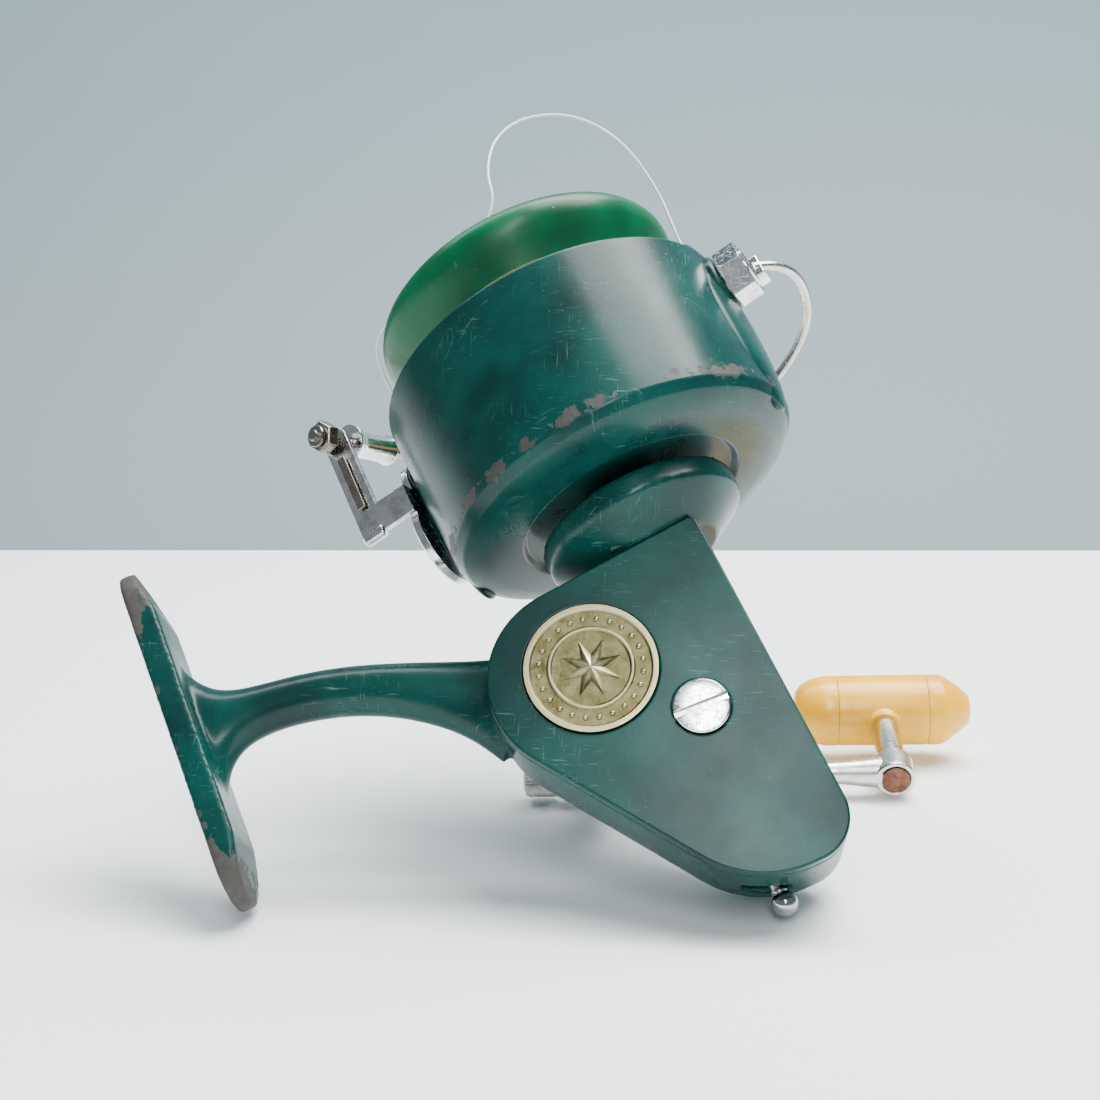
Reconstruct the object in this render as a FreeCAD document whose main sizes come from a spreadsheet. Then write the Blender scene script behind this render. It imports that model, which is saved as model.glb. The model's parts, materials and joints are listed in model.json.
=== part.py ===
import FreeCAD, Part
import math
import os

import Sketcher
from FreeCAD import Placement, Rotation, Vector

# A fixed-spool spinning reel: offset case with a side plate, stem and foot, a cup-shaped rotor with
# a flip-over bail, a push-pull spool and a folding crank. Every piece is drawn in the reel's own
# axes: origin at the middle of the badge on the side plate's outer face, +X in the plate's plane
# and away from the foot, +Y into the case, +Z forward along the spool's axis. All pieces are then
# turned together so that the reel lies on a table on its foot, lever ball and crank, with +Z up
# and +X from the foot's tip to the lever ball. Millimetres.

SIZES = (
    # case, side plate, badge and screw
    ("case_depth", 24.4, "outer width of case and plate together"),
    ("plate_thickness", 2.4, "side plate"),
    ("plate_ridge", 1.0, "ridge on the plate that centres it in the case"),
    ("case_wall", 1.8, "wall of the cast case"),
    ("case_round", 7.0, "rounding of the far edges"),
    ("case_side", 29.8, "straight edge beyond the spool axis"),
    ("case_front", 19.8, "front corner above the badge's middle"),
    ("case_rear", 48.0, "rear end below the badge's middle"),
    ("case_rear_corner", 9.0, "where the rear and the long edge would meet"),
    ("nose_reach", 33.5, "where the long and the front edge would meet"),
    ("nose_front", 14.4, "the same corner, forward"),
    ("front_radius", 1.5, "front corner"),
    ("rear_radius", 8.3, "rear corner"),
    ("belly_radius", 20.5, "corner between rear and long edge"),
    ("nose_radius", 17.9, "round nose about the badge"),
    ("badge_radius", 12.2, "brass badge"),
    ("badge_thickness", 1.5, "badge, rim included"),
    ("badge_recess", 1.0, "depth of its seat in the plate"),
    ("screw_x", 14.7, "plate screw, across"),
    ("screw_z", -15.0, "plate screw, along"),
    ("screw_head_radius", 5.1, "plate screw head"),
    ("screw_head_height", 1.9, "plate screw head"),
    ("screw_shank_radius", 2.0, "plate screw shank"),
    ("screw_length", 11.0, "plate screw shank"),
    ("screw_slot", 1.2, "width and depth of the slot"),
    # spool axis, collar and bearing
    ("spool_axis_x", 22.0, "spool axis from the badge's middle"),
    ("neck_radius", 12.2, "neck between case and collar"),
    ("collar_radius", 20.2, "disc in front of the neck"),
    ("collar_face", 29.1, "front face of the disc"),
    ("collar_thickness", 4.4, "disc"),
    ("bearing_radius", 9.5, "outer ring"),
    ("bearing_width", 7.0, "both rings"),
    ("bearing_ring", 1.5, "radial thickness of a ring"),
    ("bearing_floor", 20.2, "seat of the bearing"),
    # foot and stem
    ("foot_face", 75.2, "rod side of the foot from the badge's middle"),
    ("foot_thickness", 5.2, "foot at its middle"),
    ("foot_tip_thickness", 2.8, "foot at its ends"),
    ("foot_front", 60.8, "front tip"),
    ("foot_rear", 10.8, "rear tip"),
    ("foot_width", 16.0, "across the rod"),
    ("stem_height", 9.2, "stem at its middle, along the rod"),
    ("stem_width", 9.0, "stem across"),
    ("stem_foot_flare", 16.0, "extra half height where it meets the foot"),
    ("stem_root_flare", 6.5, "extra half height where it meets the case"),
    ("stem_seat", 24.2, "middle of the stem on the foot"),
    # drive
    ("drive_x", 1.0, "crank axis from the badge's middle"),
    ("drive_z", -1.0, "crank axis from the badge's middle, along"),
    ("gear_radius", 15.1, "tips of the drive gear"),
    ("gear_width", 6.0, "drive gear"),
    ("tooth_depth", 1.5, "both gears"),
    ("mesh_gap", 0.2, "tips of one gear to tips of the other"),
    ("worm_length", 14.0, "toothed part of the pinion"),
    ("sleeve_radius", 4.0, "pinion sleeve"),
    ("shaft_radius", 3.0, "crank shaft"),
    ("tube_radius", 7.6, "bearing tube on the case"),
    ("tube_end", 46.0, "outer end of the bearing tube"),
    ("bush_wall", 1.6, "bronze bushes"),
    ("bush_length", 6.0, "bronze bushes"),
    ("running_gap", 0.05, "radial, shafts in their bores"),
    ("fit_gap", 0.05, "radial, fixed pieces in their seats"),
    ("free_gap", 0.3, "pieces that move past each other"),
    # crank and knob
    ("crank_offset", 64.0, "crank plane from the plate's face"),
    ("crank_length", 58.3, "crank axis to the middle of the eye"),
    ("crank_tail", 20.4, "crank axis to the end of the lock nut"),
    ("crank_rod_radius", 2.7, "arm at the head"),
    ("crank_tip_radius", 2.2, "arm at the eye"),
    ("eye_radius", 4.2, "eye of the arm"),
    ("eye_length", 6.4, "eye along the stud"),
    ("nut_radius", 4.6, "knurled lock nut"),
    ("nut_length", 8.0, "knurled lock nut"),
    ("head_radius", 5.6, "cross head on the shaft"),
    ("head_length", 11.0, "cross head on the shaft"),
    ("crank_twist", 49.0, "knob turned from straight out"),
    ("stud_radius", 3.0, "sleeve between eye and knob"),
    ("stud_length", 18.0, "eye's middle to the knob"),
    ("pin_radius", 1.8, "knob pin"),
    ("knob_length", 39.0, "T-shaped knob"),
    ("knob_radius", 7.9, "T-shaped knob"),
    ("knob_cap", 9.6, "each tapered end"),
    # anti-reverse lever
    ("lever_x", 13.8, "lever across"),
    ("lever_pivot_z", -34.0, "lever pivot"),
    ("lever_ball_z", -49.8, "middle of the ball"),
    ("lever_ball_radius", 2.3, "ball"),
    ("lever_post_radius", 1.2, "post between slot and ball"),
    ("lever_travel", 12.0, "degrees"),
    # rotor
    ("rotor_foot_z", 31.4, "underside of the rotor"),
    ("rotor_foot_radius", 23.0, "recess in the underside"),
    ("rotor_shoulder_radius", 36.0, "lower corner of the wall"),
    ("rotor_rim_radius", 37.0, "rim"),
    ("rotor_rim_z", 68.8, "rim"),
    ("rotor_corner", 3.6, "height of the lower corner"),
    ("rotor_wall", 2.4, "wall"),
    ("rotor_floor_z", 38.6, "inner floor"),
    ("rotor_hub_radius", 8.5, "hub"),
    ("rotor_hub_z", 45.6, "top of the hub"),
    ("rotor_nut_height", 4.0, "nut on the pinion"),
    # bail
    ("bail_turn", -22.0, "degrees from +X to the fixed end of the bail"),
    ("bail_z", 61.8, "bail pivots"),
    ("bail_boss_radius", 6.4, "boss on the rotor wall"),
    ("bail_boss_reach", 37.9, "outer face of the bosses from the spool axis"),
    ("bail_block_width", 10.4, "block across its flats"),
    ("bail_block_length", 5.0, "block"),
    ("bail_wire_radius", 0.95, "wire"),
    ("bail_screw_radius", 2.0, "pivot screws"),
    ("bail_plate_thickness", 1.6, "arm and strap"),
    ("bail_strap_x", -48.2, "middle of the strap from the spool axis"),
    ("bail_strap_width", 5.6, "strap"),
    ("bail_strap_y", -9.4, "middle of the strap, sideways"),
    ("bail_strap_tip", 16.4, "roller axis ahead of the pivots"),
    ("bail_tail", 23.0, "arm behind the pivots"),
    ("bail_plate_width", 19.0, "round tail of the arm"),
    ("bail_tab_z", -8.4, "tab that carries the strap, behind the pivots"),
    ("bail_tab_height", 6.4, "tab along the strap"),
    ("bail_close", 90.0, "degrees from flipped back to closed"),
    ("roller_radius", 3.0, "line roller"),
    ("roller_length", 12.0, "line roller"),
    ("roller_pin_radius", 1.3, "roller pin"),
    ("roller_lean", 15.0, "degrees, roller pin turned inwards"),
    # spool and main shaft
    ("main_shaft_radius", 2.0, "main shaft"),
    ("main_shaft_rear", -36.0, "rear end of the main shaft"),
    ("main_shaft_front", 93.0, "front end of the main shaft"),
    ("spool_back_z", 50.0, "rear flange"),
    ("spool_flange_radius", 33.6, "rear flange"),
    ("spool_flange_thickness", 2.0, "rear flange"),
    ("spool_arbor_radius", 19.0, "arbor"),
    ("spool_wall", 2.2, "arbor wall"),
    ("spool_web_z", 64.0, "web across the arbor"),
    ("spool_web_thickness", 4.0, "web"),
    ("spool_lip_radius", 32.3, "front lip"),
    ("spool_lip_z", 71.2, "underside of the lip at the arbor"),
    ("spool_lip_thickness", 15.8, "front lip, its long flank included"),
    ("line_pack_radius", 30.4, "wound line"),
    ("drag_knob_radius", 12.0, "drag knob"),
    ("drag_knob_height", 14.0, "drag knob"),
    ("stroke_back", 9.0, "spool travel towards the rotor"),
    ("stroke_ahead", 4.0, "spool travel away from the rotor"),
    ("line_radius", 0.28, "loose loop of line"),
)

GEAR_TEETH = 38
WORM_STARTS = 10
BALLS = 9
RATIO = GEAR_TEETH / WORM_STARTS

doc = FreeCAD.newDocument("SpinningReel")
dims = doc.addObject("Spreadsheet::Sheet", "dims")
for row, (alias, value, meaning) in enumerate(SIZES, start=1):
    dims.set("A%d" % row, alias)
    dims.set("B%d" % row, str(value))
    dims.set("C%d" % row, meaning)
    dims.setAlias("B%d" % row, alias)
doc.recompute()


class Sizes:
    """The sheet's values, read as plain numbers."""

    def __getattr__(self, alias):
        return float(dims.get(alias))


v = Sizes()
SPOOL_Y = v.case_depth / 2
OUTWARD = Vector(0, 1, 0)
UNTURNED = Placement()
MAIN_AXIS = Placement(Vector(v.spool_axis_x, SPOOL_Y, 0), Rotation())
DRIVE_AXIS = Placement(Vector(v.drive_x, 0, v.drive_z), Rotation(Vector(1, 0, 0), -90))
BAIL_AXIS = MAIN_AXIS * Placement(Vector(0, 0, v.bail_z), Rotation(Vector(0, 0, 1), v.bail_turn))

pieces = {}


def along(direction, base=(0, 0, 0)):
    """A placement whose +Z runs along a direction."""
    return Placement(Vector(*base), Rotation(Vector(0, 0, 1), Vector(*direction)))


def bind(item, **expressions):
    for name, expression in expressions.items():
        item.setExpression(name, str(expression))
    return item


def cylinder(radius, height, place=UNTURNED):
    item = doc.addObject("Part::Cylinder", "cylinder")
    bind(item, Radius=radius, Height=height)
    item.Placement = place
    return item


def cone(foot_radius, top_radius, height, place=UNTURNED):
    item = doc.addObject("Part::Cone", "cone")
    bind(item, Radius1=foot_radius, Radius2=top_radius, Height=height)
    item.Placement = place
    return item


def sphere(radius, place=UNTURNED):
    item = doc.addObject("Part::Sphere", "sphere")
    bind(item, Radius=radius)
    item.Placement = place
    return item


def block(length, width, height, place=UNTURNED):
    """A box centred on its placement's origin in X and Y, standing on it in Z."""
    item = doc.addObject("Part::Box", "block")
    bind(item, Length=length, Width=width, Height=height)
    doc.recompute([item])
    item.Placement = place * Placement(Vector(-item.Length.Value / 2, -item.Width.Value / 2, 0), Rotation())
    return item


def hexagon(radius, height, place=UNTURNED):
    item = doc.addObject("Part::Prism", "prism")
    item.Polygon = 6
    bind(item, Circumradius=radius, Height=height)
    item.Placement = place
    return item


def fuse(*items):
    item = doc.addObject("Part::MultiFuse", "fuse")
    item.Shapes = list(items)
    return item


def cut(base, *tools):
    item = doc.addObject("Part::Cut", "cut")
    item.Base = base
    item.Tool = tools[0] if len(tools) == 1 else fuse(*tools)
    return item


def gather(*items):
    """Separate solids that share a node."""
    item = doc.addObject("Part::Compound", "group")
    item.Links = list(items)
    return item


def piece(label, item, place=UNTURNED):
    """Names a finished sub-part and sets its place in the reel's axes."""
    item.Label = label
    pieces[label] = (item, place * item.Placement)
    return item


def rounded_outline(corners):
    """A closed outline in the XZ plane through corners of (x, z, radius), with tangent arcs."""
    edges = []
    count = len(corners)
    joints = []
    for index, (x, z, radius) in enumerate(corners):
        here = Vector(x, 0, z)
        before = Vector(corners[index - 1][0], 0, corners[index - 1][1]) - here
        after = Vector(corners[(index + 1) % count][0], 0, corners[(index + 1) % count][1]) - here
        before.normalize()
        after.normalize()
        half = before.getAngle(after) / 2
        bisector = (before + after).normalize()
        reach = radius / math.tan(half)
        centre = here + bisector * (radius / math.sin(half))
        middle = centre - bisector * radius
        joints.append((here + before * reach, middle, here + after * reach))
    for index, (start, middle, end) in enumerate(joints):
        edges.append(Part.Arc(start, middle, end).toShape())
        edges.append(Part.LineSegment(end, joints[(index + 1) % count][0]).toShape())
    return Part.Wire(edges)


def solid_from_wire(label, wire, depth, start):
    """An outline in the XZ plane carried along +Y from a start, as Part's own extrusion."""
    outline = doc.addObject("Part::Feature", label + "_outline")
    outline.Shape = Part.Face(wire)
    outline.Placement = Placement(Vector(0, start, 0), Rotation())
    item = doc.addObject("Part::Extrusion", label)
    item.Base = outline
    item.DirMode = "Custom"
    item.Dir = OUTWARD
    bind(item, LengthFwd=depth)
    item.Solid = True
    return item


def rounded_far(label, wire, depth, start, radius):
    """The same extrusion with the edges of its far face rounded."""
    slab = solid_from_wire(label, wire, depth, start)
    doc.recompute()
    far = slab.Shape.BoundBox.YMax
    item = doc.addObject("Part::Fillet", label + "_rounded")
    item.Base = slab
    item.Edges = [(index, radius, radius) for index, edge in enumerate(slab.Shape.Edges, start=1)
                  if edge.BoundBox.YMin > far - 0.01]
    return item


def lathe(label, profile, place=MAIN_AXIS):
    """A PartDesign revolution of a closed profile of (radius, height) points."""
    body = doc.addObject("PartDesign::Body", label)
    sketch = body.newObject("Sketcher::SketchObject", label + "_profile")
    plane = [f for f in body.Origin.OriginFeatures if f.Role == "XZ_Plane"][0]
    sketch.AttachmentSupport = (plane, [""])
    sketch.MapMode = "FlatFace"
    count = len(profile)
    for index in range(count):
        start = Vector(*profile[index], 0)
        end = Vector(*profile[(index + 1) % count], 0)
        sketch.addGeometry(Part.LineSegment(start, end), False)
    for index in range(count):
        sketch.addConstraint(Sketcher.Constraint("Coincident", index, 2, (index + 1) % count, 1))
    turn = body.newObject("PartDesign::Revolution", label + "_turned")
    turn.Profile = sketch
    turn.ReferenceAxis = (sketch, ["V_Axis"])
    turn.Angle = 360
    body.Tip = turn
    piece(label, body, place)
    return body


def toothed(label, teeth, tip, root, width, twist, layers, bore):
    """A gear blank with slanting teeth, lofted through turned copies of one tooth ring."""
    rings = []
    for layer in range(layers + 1):
        corners = []
        turned = twist * layer / layers
        for tooth in range(teeth):
            for share, radius in ((0.0, root), (0.28, root), (0.40, tip), (0.60, tip), (0.72, root)):
                angle = math.radians(turned + 360 * (tooth + share) / teeth)
                if share > 0.0:
                    corners.append(Vector(radius * math.cos(angle), radius * math.sin(angle),
                                          width * layer / layers))
        rings.append(Part.makePolygon(corners + corners[:1]))
    blank = Part.makeLoft(rings, True, True)
    item = doc.addObject("Part::Feature", label)
    item.Shape = blank.cut(Part.makeCylinder(bore, width))
    return item


# ---- case, side plate, badge and screw -------------------------------------------------------

def case_outline(inset=0.0):
    """The teardrop outline of case and plate, moved inwards by an inset."""
    wire = rounded_outline((
        (v.case_side, v.case_front, v.front_radius),
        (v.case_side, -v.case_rear, v.rear_radius),
        (v.case_rear_corner, -v.case_rear, v.belly_radius),
        (-v.nose_reach, v.nose_front, v.nose_radius),
    ))
    return wire.makeOffset2D(-inset) if inset else wire


def stem():
    """A lofted bar of oval sections that flares into the foot and into the case."""
    points = [Vector(-v.foot_face + 3.0, 0, v.stem_seat), Vector(-52.0, 0, v.stem_seat),
              Vector(-38.0, 0, v.stem_seat - 2.2), Vector(-14.0, 0, 3.0)]
    middle = Part.BezierCurve()
    middle.setPoles(points)
    sections = []
    length = 58.0
    for share in (0.0, 0.03, 0.07, 0.13, 0.22, 0.36, 0.52, 0.68, 0.82, 0.92, 1.0):
        here = middle.value(share)
        heading = middle.tangent(share)[0]
        reach = share * length
        half = (v.stem_height / 2 + v.stem_foot_flare * math.exp(-reach / 3.6)
                + v.stem_root_flare * math.exp(-(length - reach) / 8.0))
        across = Vector(heading.z, 0, -heading.x)
        oval = FreeCAD.Matrix()
        oval.scale(half, v.stem_width / 2, 1)
        ring = doc.addObject("Part::Feature", "stem_ring")
        ring.Shape = Part.Wire([Part.makeCircle(1)]).transformGeometry(oval)
        ring.Placement = Placement(here + Vector(0, SPOOL_Y, 0), Rotation(across, OUTWARD, heading, "ZXY"))
        sections.append(ring)
    loft = doc.addObject("Part::Loft", "stem")
    loft.Sections = sections
    loft.Solid = True
    return loft


def foot():
    """The foot: a long rounded plate, thinner at its tips, its seat flat towards the rod."""
    face = -v.foot_face
    middle = (v.foot_front - v.foot_rear) / 2
    side = Part.Wire(Part.makePolygon([
        Vector(face, 0, v.foot_front), Vector(face, 0, -v.foot_rear),
        Vector(face + v.foot_tip_thickness, 0, -v.foot_rear),
        Vector(face + v.foot_thickness, 0, middle - 24.0), Vector(face + v.foot_thickness, 0, middle + 24.0),
        Vector(face + v.foot_tip_thickness, 0, v.foot_front), Vector(face, 0, v.foot_front)]).Edges)
    slab = solid_from_wire("foot_side", side, "dims.foot_width", SPOOL_Y - v.foot_width / 2)
    turned = along((1, 0, 0))
    length = v.foot_front + v.foot_rear - v.foot_width
    plan = fuse(
        cylinder("dims.foot_width / 2", "dims.foot_thickness * 2",
                 Placement(Vector(face - 1, SPOOL_Y, v.foot_front - v.foot_width / 2), turned.Rotation)),
        cylinder("dims.foot_width / 2", "dims.foot_thickness * 2",
                 Placement(Vector(face - 1, SPOOL_Y, -v.foot_rear + v.foot_width / 2), turned.Rotation)),
        block("dims.foot_thickness * 2", "dims.foot_width", length,
              Placement(Vector(face - 1 + v.foot_thickness, SPOOL_Y, -v.foot_rear + v.foot_width / 2),
                        Rotation())))
    rounded = doc.addObject("Part::Common", "foot")
    rounded.Base = slab
    rounded.Tool = plan
    return rounded


def screw_place(depth):
    return along((0, 1, 0), (v.screw_x, depth, v.screw_z))


def housing():
    shell = rounded_far("case_shell", case_outline(), "dims.case_depth - dims.plate_thickness",
                        v.plate_thickness, v.case_round)
    hollow = rounded_far("case_hollow", case_outline(v.case_wall),
                         "dims.case_depth - dims.plate_thickness - dims.case_wall + 1",
                         v.plate_thickness - 1, v.case_round - v.case_wall)
    neck_foot = v.case_front - v.case_wall / 2
    neck = cone("dims.neck_radius", "dims.collar_radius", v.collar_face - v.collar_thickness - neck_foot,
                MAIN_AXIS * along((0, 0, 1), (0, 0, neck_foot)))
    collar = cylinder("dims.collar_radius", "dims.collar_thickness",
                      MAIN_AXIS * along((0, 0, 1), (0, 0, v.collar_face - v.collar_thickness)))
    tube = cylinder("dims.tube_radius", v.tube_end - v.case_depth + v.case_wall / 2,
                    DRIVE_AXIS * along((0, 0, 1), (0, 0, v.case_depth - v.case_wall / 2)))
    boss = cylinder("dims.screw_shank_radius + 1.2", v.case_depth - v.plate_thickness - 1.0,
                    screw_place(v.plate_thickness + 0.2))
    guide = cylinder("dims.main_shaft_radius + dims.bush_wall + 1.4", 8.0,
                     MAIN_AXIS * along((0, 0, 1), (0, 0, v.main_shaft_rear - 5.8)))
    web_start = v.plate_thickness + v.plate_ridge + 0.5
    web_end = v.case_depth - v.case_wall / 2
    web = block(4.0, web_end - web_start, 5.0,
                Placement(Vector(v.spool_axis_x + 5.5, (web_start + web_end) / 2, v.main_shaft_rear - 4.3),
                          Rotation()))
    lever_post = cylinder(3.2, v.case_depth / 2 - 2.8,
                          along((0, -1, 0), (v.lever_x, v.case_depth - v.case_wall / 2, v.lever_pivot_z)))
    cast = cut(fuse(shell, stem(), foot()), hollow)
    walls = fuse(cast, neck, collar, tube, boss, guide, web, lever_post)
    plate_bed = solid_from_wire("plate_bed", case_outline(), "dims.plate_thickness + 1", -1.0)
    bearing_seat = cylinder("dims.bearing_radius + dims.fit_gap", v.collar_face,
                            MAIN_AXIS * along((0, 0, 1), (0, 0, v.bearing_floor)))
    sleeve_hole = cylinder("dims.sleeve_radius + 2.2", v.collar_face,
                           MAIN_AXIS * along((0, 0, 1), (0, 0, 12.0)))
    drive_hole = cylinder("dims.shaft_radius + dims.running_gap + dims.bush_wall + dims.fit_gap", v.tube_end,
                          DRIVE_AXIS * along((0, 0, 1), (0, 0, 20.0)))
    screw_hole = cylinder("dims.screw_shank_radius + dims.fit_gap", v.screw_length + 1.0, screw_place(0.0))
    guide_hole = cylinder("dims.main_shaft_radius + dims.running_gap", 30.0,
                          MAIN_AXIS * along((0, 0, 1), (0, 0, v.main_shaft_rear - 9.4)))
    pivot_hole = cylinder(1.5, 8.0,
                          along((0, 1, 0), (v.lever_x, SPOOL_Y + 1.0, v.lever_pivot_z)))
    notch_width = 2 * v.lever_post_radius + 1.4
    swing = -math.tan(math.radians(v.lever_travel)) * (v.lever_pivot_z - v.lever_ball_z)
    notch = block(abs(swing) + notch_width, notch_width, 14.0,
                  Placement(Vector(v.lever_x + swing / 2, SPOOL_Y, -v.case_rear - 2.0), Rotation()))
    piece("housing", cut(walls, bearing_seat, sleeve_hole, drive_hole, screw_hole, guide_hole, pivot_hole,
                         notch,
                         plate_bed))


def side_plate():
    slab = solid_from_wire("plate_slab", case_outline(), "dims.plate_thickness", 0.0)
    seat = cylinder("dims.badge_radius + dims.fit_gap", "dims.badge_recess + 1", along((0, 1, 0), (0, -1, 0)))
    hole = cylinder("dims.screw_shank_radius + dims.fit_gap", 10.0, screw_place(-1.0))
    sink = cylinder("dims.screw_head_radius + dims.fit_gap", "dims.screw_head_height / 2 + 1",
                    screw_place(-1.0))
    ridge = solid_from_wire("plate_ridge", case_outline(v.case_wall + v.fit_gap), "dims.plate_ridge",
                            v.plate_thickness)
    inner = solid_from_wire("plate_ridge_hollow", case_outline(v.case_wall + 1.4),
                            "dims.plate_ridge + 0.2", v.plate_thickness)
    piece("side_plate", cut(fuse(slab, cut(ridge, inner)), seat, hole, sink))


def badge():
    """A round brass plaque: raised rim, inner ring and a plain eight-pointed star."""
    disc = cylinder("dims.badge_radius", "dims.badge_thickness",
                    along((0, 1, 0), (0, v.badge_recess - v.badge_thickness, 0)))
    field = cylinder("dims.badge_radius - 1.0", 0.4,
                     along((0, 1, 0), (0, v.badge_recess - v.badge_thickness - 0.1, 0)))
    ring = cut(cylinder("dims.badge_radius * 0.62", 0.3,
                        along((0, 1, 0), (0, v.badge_recess - v.badge_thickness, 0))),
               cylinder("dims.badge_radius * 0.56", 0.3,
                        along((0, 1, 0), (0, v.badge_recess - v.badge_thickness, 0))))
    piece("badge", fuse(cut(disc, field), ring))


def plate_screw():
    top = v.screw_head_height / 2 - v.screw_head_height
    head = cylinder("dims.screw_head_radius", "dims.screw_head_height", screw_place(top))
    shank = cylinder("dims.screw_shank_radius", "dims.screw_length", screw_place(top + v.screw_head_height))
    slot = block(3 * v.screw_head_radius, "dims.screw_slot", "dims.screw_slot",
                 Placement(Vector(v.screw_x, top - 0.01, v.screw_z),
                           Rotation(Vector(0, 0, 1), Vector(0, 1, 0)))
                 * Placement(Vector(), Rotation(Vector(0, 0, 1), 6)))
    piece("plate_screw", cut(fuse(head, shank), slot))


# ---- bearings and bushes ---------------------------------------------------------------------

def ring(label, inner, outer, height, place):
    piece(label, cut(cylinder(outer, height, place), cylinder(inner, height, place)))


def bearing():
    place = MAIN_AXIS * along((0, 0, 1), (0, 0, v.bearing_floor))
    ring("bearing_outer_ring", "dims.bearing_radius - dims.bearing_ring", "dims.bearing_radius",
         "dims.bearing_width", place)
    ring("bearing_inner_ring", "dims.sleeve_radius + 0.02", "dims.sleeve_radius + dims.bearing_ring",
         "dims.bearing_width", place)
    ball = (v.bearing_radius - 2 * v.bearing_ring - v.sleeve_radius) / 2 - v.running_gap
    middle = (v.bearing_radius + v.sleeve_radius) / 2
    balls = []
    for number in range(BALLS):
        angle = 2 * math.pi * number / BALLS
        here = Vector(middle * math.cos(angle), middle * math.sin(angle), v.bearing_width / 2)
        balls.append(sphere(ball, place * Placement(here, Rotation())))
    piece("bearing_balls", gather(*balls))


def bushes():
    for label, start in (("inner_bush", 22.0), ("outer_bush", v.tube_end - v.bush_length)):
        ring(label, "dims.shaft_radius + dims.running_gap",
             "dims.shaft_radius + dims.running_gap + dims.bush_wall", "dims.bush_length",
             DRIVE_AXIS * along((0, 0, 1), (0, 0, start)))


# ---- crank shaft, crank and knob -------------------------------------------------------------

def drive():
    place = DRIVE_AXIS * along((0, 0, 1), (0, 0, SPOOL_Y - v.gear_width / 2))
    gear = toothed("drive_gear", GEAR_TEETH, v.gear_radius, v.gear_radius - v.tooth_depth, v.gear_width,
                   360 / GEAR_TEETH * 1.2, 2, v.shaft_radius + 0.02)
    piece("drive_gear", gear, place)
    start = SPOOL_Y - v.gear_width / 2
    head_start = v.crank_offset - v.head_radius
    shaft = cylinder("dims.shaft_radius", head_start - start + 1.0,
                     DRIVE_AXIS * along((0, 0, 1), (0, 0, start)))
    shoulder = cylinder("dims.shaft_radius + 2.0", head_start - v.tube_end - v.free_gap + 0.5,
                        DRIVE_AXIS * along((0, 0, 1), (0, 0, v.tube_end + v.free_gap)))
    head = cylinder("dims.head_radius", "dims.head_length",
                    crank_place() * along((1, 0, 0), (-v.head_length / 2, 0, 0)))
    bore = cylinder("dims.crank_rod_radius + dims.running_gap", 40.0,
                    crank_place() * along((1, 0, 0), (-20.0, 0, 0)))
    piece("crank_shaft", cut(fuse(shaft, shoulder, head), bore))
    pin = cylinder(1.6, 2.4, along((0, -1, 0), (v.drive_x, start, v.drive_z + 2.5)))
    piece("eccentric_pin", pin)


def crank_place():
    """Arm along local X, knob stud along local Z."""
    arm = Vector(math.cos(crank_angle), 0, math.sin(crank_angle))
    ahead = Vector(-math.sin(crank_angle), 0, math.cos(crank_angle))
    lean = math.radians(v.crank_twist)
    stud = OUTWARD * math.cos(lean) + ahead * math.sin(lean)
    return Placement(Vector(v.drive_x, v.crank_offset, v.drive_z),
                     Rotation(arm, stud.cross(arm), stud, "XZY"))


def crank():
    place = crank_place()
    end = v.crank_length - v.eye_radius * 0.6
    rod = cylinder("dims.crank_rod_radius", v.head_length + 4.0,
                   place * along((1, 0, 0), (-v.head_length / 2 - 2.0, 0, 0)))
    taper = cone("dims.crank_rod_radius", "dims.crank_tip_radius", end - v.head_length / 2 - 2.0,
                 place * along((1, 0, 0), (v.head_length / 2 + 2.0, 0, 0)))
    shoulder = cylinder("dims.crank_rod_radius + 1.2", 2.0,
                        place * along((1, 0, 0), (v.head_length / 2 + v.running_gap, 0, 0)))
    thread = cylinder("dims.crank_rod_radius - 0.5", v.crank_tail - v.head_length / 2 - 3.5,
                      place * along((-1, 0, 0), (-v.head_length / 2 - 1.0, 0, 0)))
    eye = cylinder("dims.eye_radius", "dims.eye_length",
                   place * along((0, 0, 1), (v.crank_length, 0, -v.eye_length / 2)))
    hole = cylinder("dims.stud_radius + 0.02", 20.0, place * along((0, 0, 1), (v.crank_length, 0, -10.0)))
    piece("crank_arm", cut(fuse(rod, taper, shoulder, thread, eye), hole))
    nut_place = place * along((-1, 0, 0), (-v.crank_tail + v.nut_length, 0, 0))
    nut = cylinder("dims.nut_radius", "dims.nut_length", nut_place)
    nut_hole = cylinder("dims.crank_rod_radius - 0.5 + 0.02", v.nut_length - 2.0, nut_place)
    piece("crank_lock_nut", cut(nut, nut_hole))
    stud = cylinder("dims.stud_radius", v.stud_length + v.eye_length / 2 + 0.3,
                    place * along((0, 0, 1), (v.crank_length, 0, -v.eye_length / 2 - 0.3)))
    pin = cylinder("dims.pin_radius", v.stud_length + 2 * v.knob_radius + 1.4,
                   place * along((0, 0, 1), (v.crank_length, 0, 0)))
    piece("knob_stud", fuse(stud, pin))


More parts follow.
